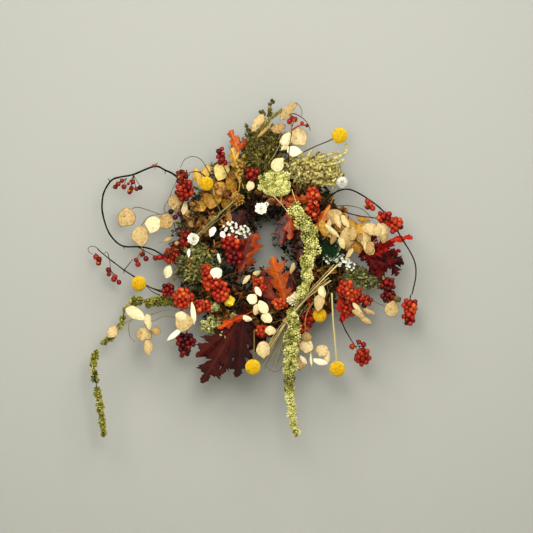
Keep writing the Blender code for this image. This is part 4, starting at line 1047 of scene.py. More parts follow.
def pod(work, spot, half_width, half_height, lean=0.0, tone=0.55, cup=1.5, turn=None, foot=None,
        seeded=True, skin=0, tip=None):
    """One pod: lean turns it in its own plane, turn about its upright, in degrees; cup bows it, in mm."""
    spots, faces = pod_form
    turn = work.dice.normal(0, 14) if turn is None else turn
    tip = -math.pi / 2 if tip is None else math.radians(tip)
    angle = np.arctan2(spots[:, 1], spots[:, 0])
    beak = 1 + 0.2 * np.exp(-((np.angle(np.exp(1j * (angle - tip))) / 0.24) ** 2))
    beak = beak + 0.06 * np.exp(-((np.angle(np.exp(1j * (angle - tip - math.pi))) / 0.3) ** 2))
    radial = np.hypot(spots[:, 0], spots[:, 1])
    wave = work.dice.uniform(0, 6)
    beak = beak * (1 + 0.05 * np.sin(3 * angle + wave) + 0.03 * np.sin(5 * angle + 2 * wave))
    x = spots[:, 0] * half_width * beak
    y = spots[:, 1] * half_height * beak
    z = spots[:, 2] * 0.45 + cup * (1 - radial**2) + 0.35 * cup * np.sin(2 * angle + wave) * radial**2
    fold = work.dice.normal(0, 0.22)
    z += 0.35 * np.sin(5 * angle + wave) * radial**3 + fold * np.abs(x) ** 1.5 * 0.3
    local = np.stack([x, -z, y], -1)
    a, b, c = math.radians(lean), math.radians(turn), math.radians(work.dice.normal(0, 9))
    spin = np.array([[math.cos(a), 0, math.sin(a)], [0, 1, 0], [-math.sin(a), 0, math.cos(a)]])
    yaw = np.array([[math.cos(b), -math.sin(b), 0], [math.sin(b), math.cos(b), 0], [0, 0, 1]])
    nod = np.array([[1, 0, 0], [0, math.cos(c), -math.sin(c)], [0, math.sin(c), math.cos(c)]])
    turns = yaw @ nod @ spin
    middle = place(*spot)
    rim_shade = -0.2 * np.clip((radial - 0.86) / 0.1, 0,
                               1) - 0.10 * np.exp(-(((radial - 0.66) / 0.07) ** 2))
    rim_shade = rim_shade + 0.07 * np.sin(7 * angle + 3 * wave) * radial
    work.add(middle + local @ turns.T * MM, faces[:, [0, 2, 1]], local + work.dice.uniform(0, 400, 3),
             tone + rim_shade + work.dice.normal(0, 0.02), skin)
    if seeded:
        offset = work.dice.uniform(0.2, 0.45)
        u, v = offset * math.cos(wave), offset * math.sin(wave)
        height = cup * (1 - u * u - v * v) + 0.1
        seat = np.array([[u * half_width, -height, v * half_height]])
        scatter(work, bead_form, middle + seat @ turns.T * MM, (2.9, 2.3, 0.3),
                facing(turns[:, 1][None], work.dice), tone - 0.04, skin)
    if foot is not None:
        start = place(*foot)
        near = min((middle + (np.array([u * half_width, 0, v * half_height]) @ turns.T) * MM for u,
                    v in ((0, 0.97), (0, -0.97), (0.97, 0), (-0.97, 0), (0.69, 0.69), (-0.69, 0.69),
                          (0.69, -0.69), (-0.69, -0.69))), key=lambda point: np.linalg.norm(point - start))
        tube(work, bowed(work, start, near, 0.08, 6), 0.45, 2, 0.5, sides=4)


def pods(work, rows, thin=1, shade=1, cup=1.5, seeded=False, skin=0):
    """Several pods, each with its place, half width, half height, lean, tone and, if it has its own, skin."""
    for spot, half_width, half_height, lean, tone, *own in rows:
        pod(work, spot, thin * half_width, half_height, lean, shade * tone, cup, seeded=seeded,
            skin=own[0] if own else skin)


POD_SKINS = pod_skins + [stalk_green]
CREAM, AMBER, STALK = 0, 1, 2


def stalks(work, routes, radius, tone):
    for points in routes:
        tube(work, line(points), radius, STALK, tone, sides=5)


work = Work(110)
stalks(work, [[(-218, 63, 72), (-207, 65, 72), (-184, 58, 72), (-171, 54, 71), (-150, 58, 71),
               (-125, 35, 70)], [(-202, 36, 72), (-194, 47, 72), (-186, 52, 72), (-173, 54, 71)],
               [(-164, 55, 72), (-166, 65, 72), (-158, 79, 71), (-154, 91, 71), (-147, 106, 70)]], 0.6,
               0.35)
pod(work, (-226, 49, 72), 14.5, 14.6, 8, 0.42, tip=-120, turn=4)
pod(work, (-204, 20, 72), 13.6, 15.4, -6, 0.5, turn=-4)
pod(work, (-184, 38, 74), 12.6, 12.8, 15, 0.74, turn=6)
pod(work, (-163, 43, 75), 13.4, 12.2, -30, 0.34, turn=-6, tip=200)
pod(work, (-148, 74, 71), 11.5, 13.5, 15, 0.36)
pod(work, (-138, 66, 70), 10, 12, -10, 0.66)
pod(work, (-161, 14, 70), 3.0, 8.5, 62, 0.35, seeded=False, foot=(-175, 8, 70))
pod(work, (-146, 8, 71), 4, 3.6, 0, 0.3, seeded=False)
work.finish("left_pods_papery", POD_SKINS, ["left_pods"])

work = Work(111)
stalks(work, [[(0, 133, 88), (11, 150, 88), (22, 170, 89), (36, 190, 90), (30, 205, 90)]], 0.8, 0.8)
pod(work, (32, 218, 91), 7.6, 17.5, 40, 0.5, turn=10, cup=1.0)
pod(work, (-16, 200, 90), 7.4, 15.5, 35, 0.52, turn=-8, cup=1.0)
pod(work, (16, 190, 91), 12, 7.4, -18, 0.26, turn=5)
pod(work, (-6, 186, 90), 3.2, 14, 48, 0.3, seeded=False, turn=5)
pod(work, (48, 177, 92), 14.2, 14.6, -8, 0.66, turn=-3, cup=1.0, tip=-60)
pod(work, (29, 170, 89), 9.5, 15, 22, 0.8, turn=8)
pod(work, (41, 154, 92), 12, 8, 12, 0.97, turn=4, seeded=False)
pod(work, (15, 132, 96), 10.5, 11.5, 25, 0.74, turn=-6, seeded=False, tip=70)
pod(work, (-28, 99, 92), 6.5, 8, 20, 0.72, seeded=False)
work.finish("top_pods_papery", POD_SKINS, ["top_pods"])

work = Work(112)
stalks(work, [[(-74, 67, 68), (-70, 96, 69), (-62, 122, 70), (-51, 134, 70)]], 0.8, 0.4)
pods(work, [((-90, 77, 70), 15, 13, 10, 0.35), ((-101, 120, 69), 8, 14, 25, 0.6),
            ((-114, 115, 68), 7, 13, -12, 0.55), ((-74, 123, 74), 13, 14, 20, 0.82),
            ((-59, 102, 72), 10, 15, -20, 0.3), ((-78, 93, 72), 12, 14, 28, 0.42),
            ((-67, 72, 72), 9, 13, -25, 0.2), ((-88, 99, 68), 10, 12, 5, 0.25),
            ((-64, 45, 72), 7, 14, 5, 0.18), ((-53, 122, 70), 7, 12, 25, 0.25),
            ((-107, 67, 68), 10, 9, -35, 0.4), ((-54, 82, 70), 7, 11, 30, 0.45)], seeded=True, skin=AMBER)
SCALES = 34
for number in range(SCALES):
    outward = np.array([ball_step(number, SCALES)])
    scatter(work, leaflet, place(-48, 77, 76)[None] + outward * 7 * MM, (2.2, 1.0, 4.6),
            facing(outward, work.dice), 0.4, AMBER)
scatter(work, bead_form, place(-48, 77, 76)[None], 9.5, facing(np.array([[0, 0, 1]]), work.dice), 0.1,
        AMBER)
work.finish("amber_pods_papery", POD_SKINS, ["amber_pods"])

work = Work(113)
stalks(work, [[(-112, -115, 86), (-141, -112, 87), (-165, -109, 87), (-186, -117, 86), (-211, -112, 86),
               (-237, -125, 86)], [(-215, -113, 86), (-222, -122, 86), (-220, -141, 86), (-212, -150, 86)],
               [(-197, -122, 86), (-189, -130, 86), (-182, -138, 86)],
               [(-186, -106, 86), (-170, -101, 86), (-158, -98, 86)]], 0.7, 0.5)
pod(work, (-212, -104, 87), 16.5, 9.5, 30, 0.78, turn=4, seeded=False, tip=0)
pod(work, (-191, -117, 88), 6, 12, -10, 0.7, turn=12, seeded=False)
pod(work, (-178, -132, 86), 7.5, 6.5, 15, 0.3, seeded=False)
pod(work, (-199, -137, 87), 13.4, 10, 5, 0.5, turn=-4)
pod(work, (-191, -158, 86), 7.5, 11.4, -6, 0.52, turn=6, seeded=False)
pod(work, (-248, -134, 88), 8.6, 9.6, 30, 0.5, seeded=False, foot=(-237, -125, 86))
pod(work, (-134, -118, 89), 14.5, 14, 12, 0.5, turn=-5)
pod(work, (-137, -109, 92), 11.5, 7, 18, 0.74, turn=8, seeded=False)
pod(work, (-119, -104, 93), 4.4, 17, -6, 0.95, turn=5, seeded=False)
pod(work, (-149, -138, 88), 4.4, 13, 50, 0.98, turn=0, seeded=False)
pod(work, (-160, -38, 82), 8, 10, 20, 0.85, seeded=False, foot=(-141, -51, 80))
work.finish("lower_left_pods_papery", POD_SKINS, ["lower_left_pods"])

work = Work(114)
stalks(work, [[(-35, -77, 112), (-22, -93, 113), (0, -118, 112)]], 0.8, 0.5)
pods(work, [((-25, -81, 114), 9, 8, 30, 0.86), ((-8, -94, 115), 8, 11, -30, 0.78),
            ((-2, -111, 115), 9.5, 7.5, 25, 0.82), ((-33, -112, 113), 8, 4.5, 20, 0.85),
            ((-18, -97, 113), 6, 9, 15, 0.66), ((4, -131, 112), 9, 7, 10, 0.7),
            ((-6, -161, 110), 12, 12.5, 5, 0.62), ((-16, -69, 112), 5, 8, -35, 0.92)])
tassel(work, line([(37, -85, 108), (42, -80, 109), (46, -75, 110)]), lambda t: 8, 14, 24, 0.85, 1.3, CREAM)
pod(work, (39, -32, 86), 4, 9, 15, 0.5, seeded=False, foot=(45, -58, 84))
pod(work, (-34, -50, 86), 4, 9, 40, 0.62, seeded=False, foot=(-42, -67, 84))
pod(work, (-18, -40, 82), 8, 4, -8, 0.72, seeded=False, foot=(-29, -58, 82))
work.finish("centre_pods_papery", POD_SKINS, ["centre_pods"])

work = Work(115)
stalks(work, [[(80, -77, 116), (62, -102, 114), (59, -131, 112), (67, -157, 104), (80, -173, 96)],
              [(66, -166, 100), (67, -181, 99), (66, -195, 98)]], 0.8, 0.7)
pods(work, [((61, -141, 106), 8.5, 7, 10, 0.3), ((61, -156, 104), 11.5, 10, 12, 0.66),
            ((51, -182, 101), 10.5, 10.5, 0, 0.34), ((56, -178, 104), 4, 8, -35, 0.86),
            ((86, -163, 98), 10, 9, 30, 0.55), ((94, -174, 97), 5, 10, 10, 0.72),
            ((83, -181, 97), 12.5, 4.6, 14, 0.97), ((81, -86, 118), 8.5, 13, 8, 0.42),
            ((86, -69, 118), 7, 9, -15, 0.82), ((68, -176, 99), 2.2, 11, -4, 0.85)])
work.finish("lower_right_pods_papery", POD_SKINS, ["lower_right_pods"])

work = Work(116)
stalks(work, [[(86, 13, 108), (106, 26, 109), (134, 16, 109), (157, 3, 108), (176, 19, 108)]], 0.8, 0.5)
pods(work, [((96, 34, 110), 5, 11, 12, 0.72), ((110, 43, 110), 6, 11, -22, 0.8),
            ((122, 42, 111), 5.5, 11, -30, 0.88), ((133, 22, 111), 9, 11, 20, 0.62),
            ((160, 1, 112), 10.5, 9.5, 25, 0.52), ((173, 27, 109), 8, 8.5, -10, 0.8),
            ((147, 16, 108), 8, 7, 30, 0.36), ((117, 8, 110), 6, 9, -20, 0.93),
            ((130, -8, 110), 5, 9, 40, 0.86), ((184, 16, 108), 7, 8, 10, 0.45),
            ((104, 16, 108), 6, 10, 20, 0.3)], 0.92, 0.66)
pods(work, [((106, 50, 106), 14, 12, 20, 0.5, CREAM), ((90, 30, 108), 9, 15, -35, 0.5, AMBER),
            ((101, 27, 111), 4.5, 15, -48, 0.92, CREAM), ((123, 19, 108), 9, 15, 12, 0.6, CREAM),
            ((134, 35, 104), 8, 13, -30, 0.45, AMBER), ((146, 26, 104), 12, 13, 25, 0.5, AMBER),
            ((154, 13, 106), 10, 14, -20, 0.55, CREAM), ((163, 30, 106), 14, 9, 15, 0.7, CREAM),
            ((181, 29, 107), 12, 12, -25, 0.78, CREAM), ((150, 45, 103), 12, 4.5, 10, 0.45, AMBER),
            ((131, 6, 103), 9, 11, 30, 0.4, CREAM), ((160, 0, 107), 9, 12, -30, 0.8, CREAM),
            ((115, 35, 102), 10, 10, 0, 0.35, AMBER), ((141, 3, 101), 10, 12, -15, 0.3, AMBER)], shade=0.74,
            cup=2.5)
work.finish("right_pods_papery", POD_SKINS, ["right_pods"])

work = Work(117)
stalks(work, [[(150, -54, 104), (163, -80, 104), (179, -90, 102), (192, -93, 99)]], 0.8, 0.4)
pod(work, (197, -97, 99), 12.5, 12, 10, 0.5)
pods(work, [((144, -106, 109), 5, 13, -52, 0.42), ((154, -114, 108), 4.5, 12, -62, 0.36),
            ((142, -96, 107), 4, 12, -40, 0.58), ((160, -101, 106), 4, 10, -70, 0.3)])
scatter(work, leaflet, place(210, -86, 102)[None], (7, 2, 15),
        facing(np.array([[-0.7, -0.3, 0.7]]), work.dice), 0.4, STALK)
work.finish("right_low_pods_papery", POD_SKINS, ["right_low_pods"])


# White flowers. A strawflower with stiff pointed bracts, a fuzzy bunny-tail head, a dried daisy with pale
# sticks beside it, and loose white statice, whose papery cups stay open when they dry.
petal_white = skin("papery_petals", [(96, 86, 62), (164, 154, 124), (206, 199, 174), (230, 225, 208),
                                     (244, 240, 228)], 0.15, 2.0, (1, 1, 0.3), (0.6, 0.8), 0.4, 0.6,
                                     sheen=0.1, glow=0.1)
FLOWER_SKINS = [petal_white, stalk_green, floret_yellow]


def flower(work, spot, radius, look, rows=3, petals=13, tone=0.85, wide=0.5, heart=0.3, heart_tone=0.5,
           heart_skin=1):
    """Rows of petals round a raised heart; look is where the flower faces, as across, up and out."""
    middle = place(*spot)
    ahead = unit(np.array([look[0], -look[2], look[1]]))
    for row in range(rows):
        count = petals - 2 * row
        angle = 2 * math.pi * (np.arange(count) + 0.5 * (row % 2)) / count + work.dice.normal(0, 0.05, count)
        side = unit(np.cross(ahead, (0.1, 0.2, 1)))
        over = np.cross(ahead, side)
        outward = side * np.cos(angle)[:, None] + over * np.sin(angle)[:, None]
        open_out = unit(outward + ahead * (0.12 + 0.42 * row))
        length = radius * (1 - 0.2 * row) * work.dice.uniform(0.9, 1.08, (count, 1))
        sizes = length * np.array([[wide, 0.5, 1]])
        scatter(work, petal, np.repeat((middle + ahead * row * 0.7 * MM)[None], count, 0), sizes,
                valve_turns(open_out, np.repeat(ahead[None], count, 0)),
                tone + work.dice.normal(0, 0.06, count), 0)
    beads = max(8, int(60 * heart))
    number = np.arange(beads) + 0.5
    level = np.sqrt(number / beads)
    spiral = number * 2.4
    side = unit(np.cross(ahead, (0.1, 0.2, 1)))
    over = np.cross(ahead, side)
    disc = side * (level * np.cos(spiral))[:, None] + over * (level * np.sin(spiral))[:, None]
    disc = disc * heart * radius
    dome = ahead * ((1.2 + 0.28 * radius * (1 - level**2)))[:, None]
    scatter(work, bead_form_small, middle + (disc + dome) * MM, heart * radius * 0.34,
            facing(np.repeat(ahead[None], beads, 0), work.dice),
            heart_tone + work.dice.normal(0, 0.08, beads), heart_skin)


def statice(work, middle, half, cups, size=3.2, tone=0.85):
    """Little papery cups on forked stalks, spread over a flattened bunch."""
    outward = round_a_ball(cups)
    outward[:, 1] = -np.abs(outward[:, 1]) * 0.8
    spots = place(*middle) + outward * reach_of(half) * work.dice.uniform(0.6, 1.05, (cups, 1)) * MM
    root = place(*middle) + np.array([0, 0.006, -0.004])
    for spot, ahead in zip(spots, outward):
        tube(work, bowed(work, root, spot, 0.1, 4), 0.4, 1, 0.55, sides=4)
        side = unit(np.cross(ahead + np.array([0, -0.6, 0]), (0.1, 0.2, 1)))
        front = unit(ahead + np.array([0, -0.6, 0]))
        over = np.cross(front, side)
        turn = 2 * math.pi * np.arange(5)[:, None] / 5 + work.dice.uniform(0, 6)
        open_out = unit(side * np.cos(turn) + over * np.sin(turn) + front * 0.6)
        scatter(work, petal, np.repeat(spot[None], 5, 0), (size * 0.85, size * 0.5, size),
                valve_turns(open_out, np.repeat(front[None], 5, 0)), tone + work.dice.normal(0, 0.07, 5), 0)


work = Work(120)
tube(work, line([(10, 77, 107), (2, 77, 107), (-11, 64, 107)]), 0.9, 1, 0.6, sides=6)
flower(work, (-11, 62, 108), 10.5, (-0.1, 0.1, 1), 4, 15, 0.95, 0.55, 0.28, 0.75)
flower(work, (-3, 69, 109), 4.5, (0.5, 0.4, 1), 2, 8, 0.92, 0.6, 0.3, 0.6)
work.finish("strawflower_bracts", FLOWER_SKINS, ["strawflower"])

work = Work(121)
tube(work, line([(99, 77, 88), (109, 90, 90), (117, 99, 92)]), 0.9, 1, 0.5, sides=6)
HAIRS = 900
outward = round_a_ball(HAIRS)
outward[:, 1] = outward[:, 1] * 0.7
scatter(work, needle, place(118, 104, 92) + outward * 3.5 * MM,
        np.array([[0.9, 0.5, 7.2]]) * work.dice.uniform(0.7, 1.15, (HAIRS, 1)),
        facing(outward + work.dice.normal(0, 0.25, (HAIRS, 3)), work.dice),
        1.0 + work.dice.normal(0, 0.12, HAIRS), 0)
work.finish("fuzzy_white_head", FLOWER_SKINS, ["fuzzy_white_flower"])

work = Work(122)
flower(work, (-118, 14, 98), 10.5, (-0.2, 0.1, 1), 4, 11, 0.74, 0.75, 0.2, 0.6)
for shift in range(9):
    low, high = work.dice.normal(0, 2.6, 2), work.dice.normal(0, 5.0, 2)
    stick = [(-118 + low[0], 14 + low[1], 97), (-86, 43 + low[1] + shift - 4, 101),
             (-51 + high[0], 77 + high[1], 102)]
    tube(work, line(stick), 0.55, 1, work.dice.uniform(0.25, 0.85), tip=0.6, sides=5)
statice(work, (-58, 30, 102), (14, 13, 6), 20, 3.6, 0.78)
statice(work, (-38, 27, 103), (10, 9, 6), 14, 3.4, 0.66)
pod(work, (-88, 26, 102), 5, 8, 25, 0.92, seeded=False, skin=0)
pod(work, (-72, 21, 103), 4.5, 5.5, -20, 0.8, seeded=False, skin=0)
pod(work, (-126, -8, 96), 2.6, 7, 5, 0.95, seeded=False, skin=0)
pod(work, (-78, -16, 98), 2.6, 8, -15, 0.9, seeded=False, skin=0)
pod(work, (-82, -40, 104), 10, 9, 15, 0.72, seeded=False, skin=0)
work.finish("daisy_and_pale_sticks", FLOWER_SKINS, ["daisy_and_stick_bunch"])

work = Work(123)
tube(work, line([(83, -32, 88), (112, -27, 90), (131, -35, 90)]), 0.8, 1, 0.4, sides=5)
statice(work, (99, -16, 92), (9, 8, 5), 12, 3.6, 0.85)
statice(work, (118, -19, 92), (13, 9, 5), 20, 3.8, 0.92)
statice(work, (131, -29, 91), (7, 7, 4), 8, 3.2, 0.82)
statice(work, (115, 6, 92), (8, 10, 4), 10, 3.6, 0.9)
work.finish("right_white_statice", FLOWER_SKINS, ["white_statice_right"])


# Oak leaves. Pressed pin-oak leaves with deep, forward-pointing lobes: stiff and curled at the edges, wine
# dark to orange, with a raised midrib and a rib into every lobe.
burgundy = skin("burgundy_oak_leaf", [(22, 5, 0), (52, 14, 2), (92, 27, 5), (156, 52, 14), (206, 100, 34)],
                0.25, 5.0, rough=(0.6, 0.85), bump=0.6, bump_size=1.2)
crimson = skin("crimson_leaflets", [(34, 2, 1), (82, 7, 4), (132, 18, 10), (176, 40, 20), (208, 84, 40)],
               0.25, 6.0, rough=(0.6, 0.85), bump=0.6, bump_size=1.2)
orange = skin("orange_oak_leaf", [(58, 14, 4), (112, 36, 8), (168, 74, 14), (208, 112, 26), (230, 160, 70)],
              0.25, 7.0, rough=(0.4, 0.65), bump=0.6, bump_size=1.2, coat=0.1)


def oak_leaf(work, foot, tip, width, lobes=3, lean=0.0, curl=0.25, droop=0.1, tone=0.4, skin=0, stalk=12.0):
    """A lobed leaf between two places; lean rolls it about its midrib, curl lifts its edges."""
    start, end = place(*foot), place(*tip)
    length = np.linalg.norm(end - start) / MM
    along = unit(end - start)
    across = unit(np.cross(along, (0, 1, 0)))
    front = np.cross(across, along)
    roll = math.radians(lean)
    leant = across * math.cos(roll) + front * math.sin(roll)
    front = front * math.cos(roll) - across * math.sin(roll)
    across = leant
    rows, columns = 30 * lobes, 5
    t = np.linspace(0, 1, rows + 1)
    waves = np.abs(((t * (lobes + 0.55) + 0.12) % 1) * 2 - 1)
    lobe = 0.24 + 0.76 * np.clip(1 - waves, 0, 1) ** 0.85
    teeth = 1 - 0.3 * np.abs(((t * (lobes + 0.55) * 4 + work.dice.uniform()) % 1) * 2 - 1)
    envelope = np.sin(math.pi * np.clip(t * 0.93 + 0.06, 0, 1)) ** 0.55 * np.clip((1 - t) * 6, 0, 1) ** 0.6
    half = 0.5 * width * envelope * lobe * teeth + 0.6
    s = np.linspace(-1, 1, 2 * columns + 1)
    half_left = np.roll(half, 3)
    half_left[:3] = 0.6
    reach = np.where(s[None] < 0, half_left[:, None], half[:, None])
    x = s[None] * reach
    y = t[:, None] * length + 1.05 * np.abs(x) * (1 - t[:, None] ** 3)
    phase = work.dice.uniform(0, 6)
    z = curl * np.abs(x) ** 1.35 * 0.16 + droop * length * (t[:, None] ** 2) * -0.25
    z = z + 0.9 * np.sin(0.35 * x + 9 * t[:, None] + phase) * (np.abs(x) / (0.5 * width))
    z = z - 0.5 * np.exp(-((x / 0.9) ** 2))
    rib_rows = np.exp(-((waves / 0.10) ** 2))
    tones = tone + 0.14 * np.exp(-(x**2))
    tones = tones + 0.10 * rib_rows[:, None] * (np.abs(x) > 0.8)
    tones = tones + 0.05 * np.sin(phase + 5 * t[:, None])
    centre = start + (x[..., None] * across + y[..., None] * along + z[..., None] * front) * MM
    down = np.gradient(centre, axis=0)
    sideways = np.gradient(centre, axis=1)
    normal = unit(np.cross(sideways, down))
    sheets = [centre + normal * 0.25 * MM, centre - normal * 0.25 * MM]
    flat = 2 * columns + 1
    number = np.arange((rows + 1) * flat).reshape(rows + 1, flat)
    grain = np.stack([x, y, 0 * x], -1).reshape(-1, 3) + work.dice.uniform(0, 400, 3)
    top = np.stack([number[:-1, :-1], number[:-1, 1:], number[1:, 1:], number[1:, :-1]], -1).reshape(-1, 4)
    under = top[:, ::-1] + number.size
    edge = np.concatenate([number[0, :], number[1:, -1], number[-1, -2::-1], number[-2:0:-1, 0]])
    after = np.roll(edge, -1)
    rim_faces = np.stack([after, edge, edge + number.size, after + number.size], -1)
    work.add(np.vstack([sheet.reshape(-1, 3) for sheet in sheets]), np.vstack([top, under, rim_faces]),
             np.vstack([grain, grain]), np.concatenate([tones.ravel(), tones.ravel() - 0.08]), skin)
    tube(work, np.array([start - along * stalk * MM, start - along * stalk * 0.4 * MM,
                         start + along * 4 * MM, start + along * 0.4 * length * MM]), 1.0, skin, tone + 0.1,
                         tip=0.5, sides=5)


work = Work(130)
oak_leaf(work, (-46, 154, 86), (-61, 187, 88), 22, 1, 12, 0.5, 0.1, 0.6, 0, 2)
oak_leaf(work, (-50, 152, 85), (-35, 174, 87), 16, 1, -12, 0.4, 0.1, 0.45, 0, 2)
oak_leaf(work, (-42, 106, 83), (-58, 160, 85), 26, 3, 10, 0.8, 0.1, 0.5, 1)
oak_leaf(work, (-45, 102, 82), (-38, 150, 84), 22, 3, -14, 0.8, 0.1, 0.35, 1)
work.finish("top_orange_oak_leaf", [orange, pod_skins[1]], ["top_oak_leaf"])
work = Work(131)
oak_leaf(work, (-38, -112, 86), (-115, -173, 88), 46, 4, 10, 0.5, 0.3, 0.36)
oak_leaf(work, (-40, -102, 87), (-104, -216, 89), 60, 4, -8, 0.5, 0.25, 0.34)
oak_leaf(work, (-38, -102, 88), (-48, -206, 90), 60, 4, -12, 0.4, 0.2, 0.28)
oak_leaf(work, (-38, -109, 85), (-74, -202, 87), 44, 4, -6, 0.4, 0.2, 0.3)
oak_leaf(work, (-45, -96, 84), (-74, -182, 82), 56, 3, -16, 0.4, 0.2, 0.2)
oak_leaf(work, (-35, -112, 84), (-16, -166, 84), 44, 3, 10, 0.4, 0.2, 0.22)
oak_leaf(work, (-35, -106, 90), (-80, -128, 92), 20, 2, 10, 0.4, 0.2, 0.85)
tube(work, line([(-17, -135, 108), (-32, -130, 110), (-43, -140, 110), (-44, -155, 110), (-38, -170, 108),
                 (-32, -179, 106)]), 0.6, 1, 0.6, tip=0.9, sides=5)
work.finish("lower_burgundy_oak_leaves", [burgundy, dark_bark], ["lower_oak_leaves"])
work = Work(132)
oak_leaf(work, (-45, -45, 76), (-19, 24, 78), 44, 2, -6, 0.5, 0.1, 0.44)
oak_leaf(work, (-51, -35, 78), (-30, 16, 80), 30, 2, 12, 0.5, 0.1, 0.28)
oak_leaf(work, (-58, 13, 70), (-40, 61, 72), 40, 2, -6, 0.4, 0.1, 0.05)
work.finish("inner_left_orange_oak_leaf", [orange], ["inner_left_oak_leaf"])
work = Work(133)
oak_leaf(work, (32, -96, 72), (6, -14, 78), 50, 3, 8, 0.4, 0.1, 0.6)
oak_leaf(work, (26, -96, 74), (-26, -45, 80), 34, 3, -12, 0.4, 0.1, 0.36)
oak_leaf(work, (38, -93, 70), (40, -29, 74), 40, 3, -12, 0.4, 0.1, 0.12)
oak_leaf(work, (3, -102, 70), (-10, -38, 72), 44, 3, 10, 0.4, 0.1, 0.15)
work.finish("inner_lower_orange_oak_leaf", [orange], ["inner_lower_oak_leaf"])
work = Work(134)
oak_leaf(work, (45, 83, 73), (21, 6, 77), 46, 3, 10, 0.4, 0.1, 0.14)
oak_leaf(work, (38, 74, 76), (35, 13, 80), 28, 2, 10, 0.5, 0.1, 0.5)
oak_leaf(work, (54, 67, 70), (51, -22, 74), 40, 3, -10, 0.4, 0.1, 0.1)
oak_leaf(work, (45, 67, 82), (-3, 85, 84), 26, 3, -20, 0.5, 0.1, 0.4)
oak_leaf(work, (70, 77, 84), (32, 77, 86), 24, 2, 20, 0.5, 0.1, 0.55)
oak_leaf(work, (99, 70, 80), (74, 26, 82), 26, 1, -20, 0.4, 0.1, 0.76)
work.finish("inner_right_oak_leaf_curled", [orange], ["inner_right_oak_leaf"])
work = Work(135)
for number in range(42):
    along = work.dice.uniform(0, 1)
    foot = (150 + 44 * along, -6 + 14 * work.dice.uniform(-1, 1) - 8 * along, 78 + 10 * work.dice.uniform())
    angle = work.dice.uniform(-2.0, 0.8)
    long = work.dice.uniform(20, 32)
    tip = (foot[0] + long * math.cos(angle), foot[1] + long * math.sin(angle),
           foot[2] + work.dice.uniform(2, 8))
    oak_leaf(work, foot, tip, work.dice.uniform(15, 22), 2, work.dice.normal(0, 22), 0.5, 0.2,
             work.dice.uniform(0.05, 0.35) + 0.3 * (angle > 0.2), 0, 5)
oak_leaf(work, (192, 11, 90), (230, 18, 92), 15, 1, 8, 0.4, 0.1, 0.78)
oak_leaf(work, (115, -67, 82), (120, -118, 86), 22, 1, 10, 0.4, 0.1, 0.75)
work.finish("right_burgundy_oak_leaves", [crimson], ["right_oak_leaves"])


# Straw. A loose bundle of hollow wheat stalks crosses the lower face of the wreath and is tied once round
# the middle with a twist of the same straw.
straw_skin = skin("straw", [(92, 76, 38), (150, 128, 74), (198, 178, 118), (232, 218, 168)], 0.2, 3.0,
                  (0.08, 1, 1), (0.45, 0.7), 0.3, 0.5)
work = Work(140)
for number in range(8):
    shift = work.dice.normal(0, 2.0, 3)
    far = work.dice.uniform(0.85, 1.1)
    points = [(99, -51, 108), (61, -80, 108), (29, -117, 107), (-3, -166, 103)]
    if number % 2:
        points = [(110, -29, 110), (70, -70, 109), (32, -115, 107), (3, -155, 105)]
    bent = [(a + shift[0] * (1 + 0.6 * k), b + shift[1] + shift[0] * k, c + shift[2] * 0.6) for k,
            (a, b, c) in enumerate(points)]
    route = line(bent)
    tube(work, route[: int(len(route) * min(far, 1.0))], work.dice.uniform(0.55, 0.85), 0,
         work.dice.uniform(0.35, 0.85), tip=0.75, sides=6)
tie = line([(29, -117, 107), (30, -115, 107)])[0]
for ring in range(4):
    angle = 2 * math.pi * np.arange(16) / 16
    heading = unit(place(45, -98, 107) - place(16, -136, 107))
    side = unit(np.cross(heading, (0, 1, 0)))
    circle = np.cos(angle)[:, None] * side + np.sin(angle)[:, None] * np.array([0, 1, 0])
    tube(work, tie + heading * (ring - 1.5) * 1.6 * MM + circle * 5.6 * MM, 0.8, 0, 0.5, sides=5,
         closed=True)
for number in range(26):
    high, low = work.dice.normal(0, 7, 2), work.dice.normal(0, 9, 2)
    stem = line([(51 + high[0], -86 + high[1], 96), (26 + 0.6 * low[0], -134, 95),
                 (low[0], -182 + low[1], 90)])
    tube(work, stem, work.dice.uniform(0.4, 0.6), 1, work.dice.uniform(0.3, 0.9), tip=0.5, sides=5)
tube(work, line([(24, -154, 94), (25, -173, 93), (22, -189, 92), (14, -197, 92), (3, -194, 92),
                 (-3, -186, 92)]), 0.55, 1, 0.5, tip=0.7, sides=5)
work.finish("straw_bundle_tied", [straw_skin, stalk_green], ["straw_bundle"])


# Wall, floor, light and camera. The wreath hangs on a plain pale wall, which is open to view and light from
# behind so that the back can be looked at; two soft lamps stand in front, high to the left and right, with
# a weaker one straight ahead and one behind.
def plain(name, colour, see_through=False):
    material = bpy.data.materials.new(name)
    material.use_nodes = True
    nodes, wire = material.node_tree.nodes, material.node_tree.links.new
    shader = nodes["Principled BSDF"]
    shader.inputs["Base Color"].default_value = (*[(c / 255) ** 2.2 for c in colour], 1)
    shader.inputs["Roughness"].default_value = 0.9
    shader.inputs["Specular IOR Level"].default_value = 0.2
    if see_through:
        side = nodes.new("ShaderNodeNewGeometry")
        clear = nodes.new("ShaderNodeBsdfTransparent")
        choose = nodes.new("ShaderNodeMixShader")
        wire(side.outputs["Backfacing"], choose.inputs["Fac"])
        wire(shader.outputs["BSDF"], choose.inputs[1])
        wire(clear.outputs["BSDF"], choose.inputs[2])
        wire(choose.outputs["Shader"], nodes["Material Output"].inputs["Surface"])
    return material


def board(name, corners, material):
    mesh = bpy.data.meshes.new(name)
    mesh.from_pydata(corners, [], [(0, 1, 2, 3)])
    mesh.materials.append(material)
    obj = bpy.data.objects.new(name, mesh)
    bpy.context.scene.collection.objects.link(obj)


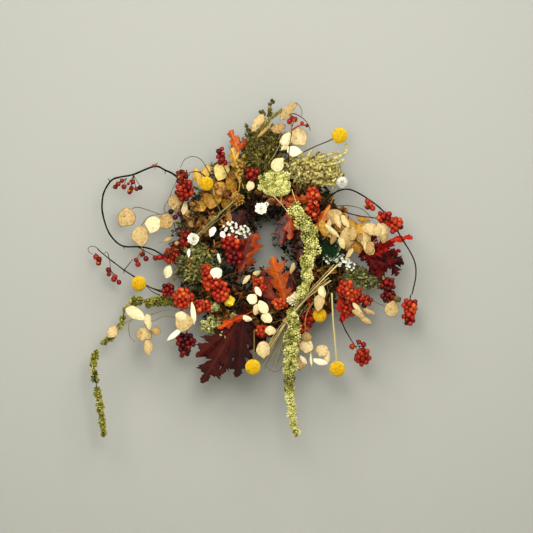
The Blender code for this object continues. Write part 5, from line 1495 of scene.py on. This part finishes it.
WALL_WIDE, WALL_HIGH = 3.0, 2.4
WALL_BACK = 0.003
FLOOR_HALF = 8
FLOOR_DROP = 0.75
floor_level = cad_box[0][2] - FLOOR_DROP
board("wall", [(-WALL_WIDE, WALL_BACK, floor_level), (WALL_WIDE, WALL_BACK, floor_level),
               (WALL_WIDE, WALL_BACK, WALL_HIGH), (-WALL_WIDE, WALL_BACK, WALL_HIGH)],
               plain("wall_paint", (173, 173, 166), True))
board("floor", [(x * FLOOR_HALF, y * FLOOR_HALF, floor_level) for x,
                y in ((-1, -1), (1, -1), (1, 1), (-1, 1))], plain("floor_paint", (226, 224, 216)))


def lamp(name, spot, aim, size, power, colour=(1, 1, 1)):
    data = bpy.data.lights.new(name, "AREA")
    data.shape = "DISK"
    data.size = size
    data.energy = power
    data.color = colour
    obj = bpy.data.objects.new(name, data)
    obj.location = spot
    obj.rotation_euler = (Vector(aim) - Vector(spot)).to_track_quat("-Z", "Y").to_euler()
    bpy.context.scene.collection.objects.link(obj)


middle = Vector(RING_MIDDLE)
lamp("key_lamp", middle + Vector((-0.85, -2.0, 1.5)), middle, 1.5, 24, (1.0, 0.985, 0.95))
lamp("second_lamp", middle + Vector((0.75, -2.0, 1.5)), middle, 1.5, 19.5, (1.0, 0.985, 0.95))
lamp("front_lamp", middle + Vector((0, -1.35, 0.22)), middle + Vector((0, 0, 0.08)), 0.5, 6.8,
     (1.0, 0.985, 0.96))
lamp("rear_lamp", middle + Vector((0.6, 2.2, 1.2)), middle, 1.0, 22)

world = bpy.data.worlds.new("room")
bpy.context.scene.world = world
world.use_nodes = True
world.node_tree.nodes["Background"].inputs["Color"].default_value = (0.93, 0.95, 0.94, 1)
world.node_tree.nodes["Background"].inputs["Strength"].default_value = 0.42

VIEW_WIDTH = 0.853
VIEW_DISTANCE = 4.0
SENSOR = 36.0
camera_data = bpy.data.cameras.new("camera")
camera_data.sensor_width = SENSOR
camera_data.lens = SENSOR * VIEW_DISTANCE / VIEW_WIDTH
camera = bpy.data.objects.new("camera", camera_data)
camera.location = (-0.0024, -VIEW_DISTANCE - 0.07, RING_MIDDLE[2] - 0.0296)
camera.rotation_euler = (math.radians(90), 0, 0)
bpy.context.scene.collection.objects.link(camera)
bpy.context.scene.camera = camera
bpy.context.scene.view_settings.view_transform = "Standard"
bpy.context.scene.view_settings.look = "Medium High Contrast"
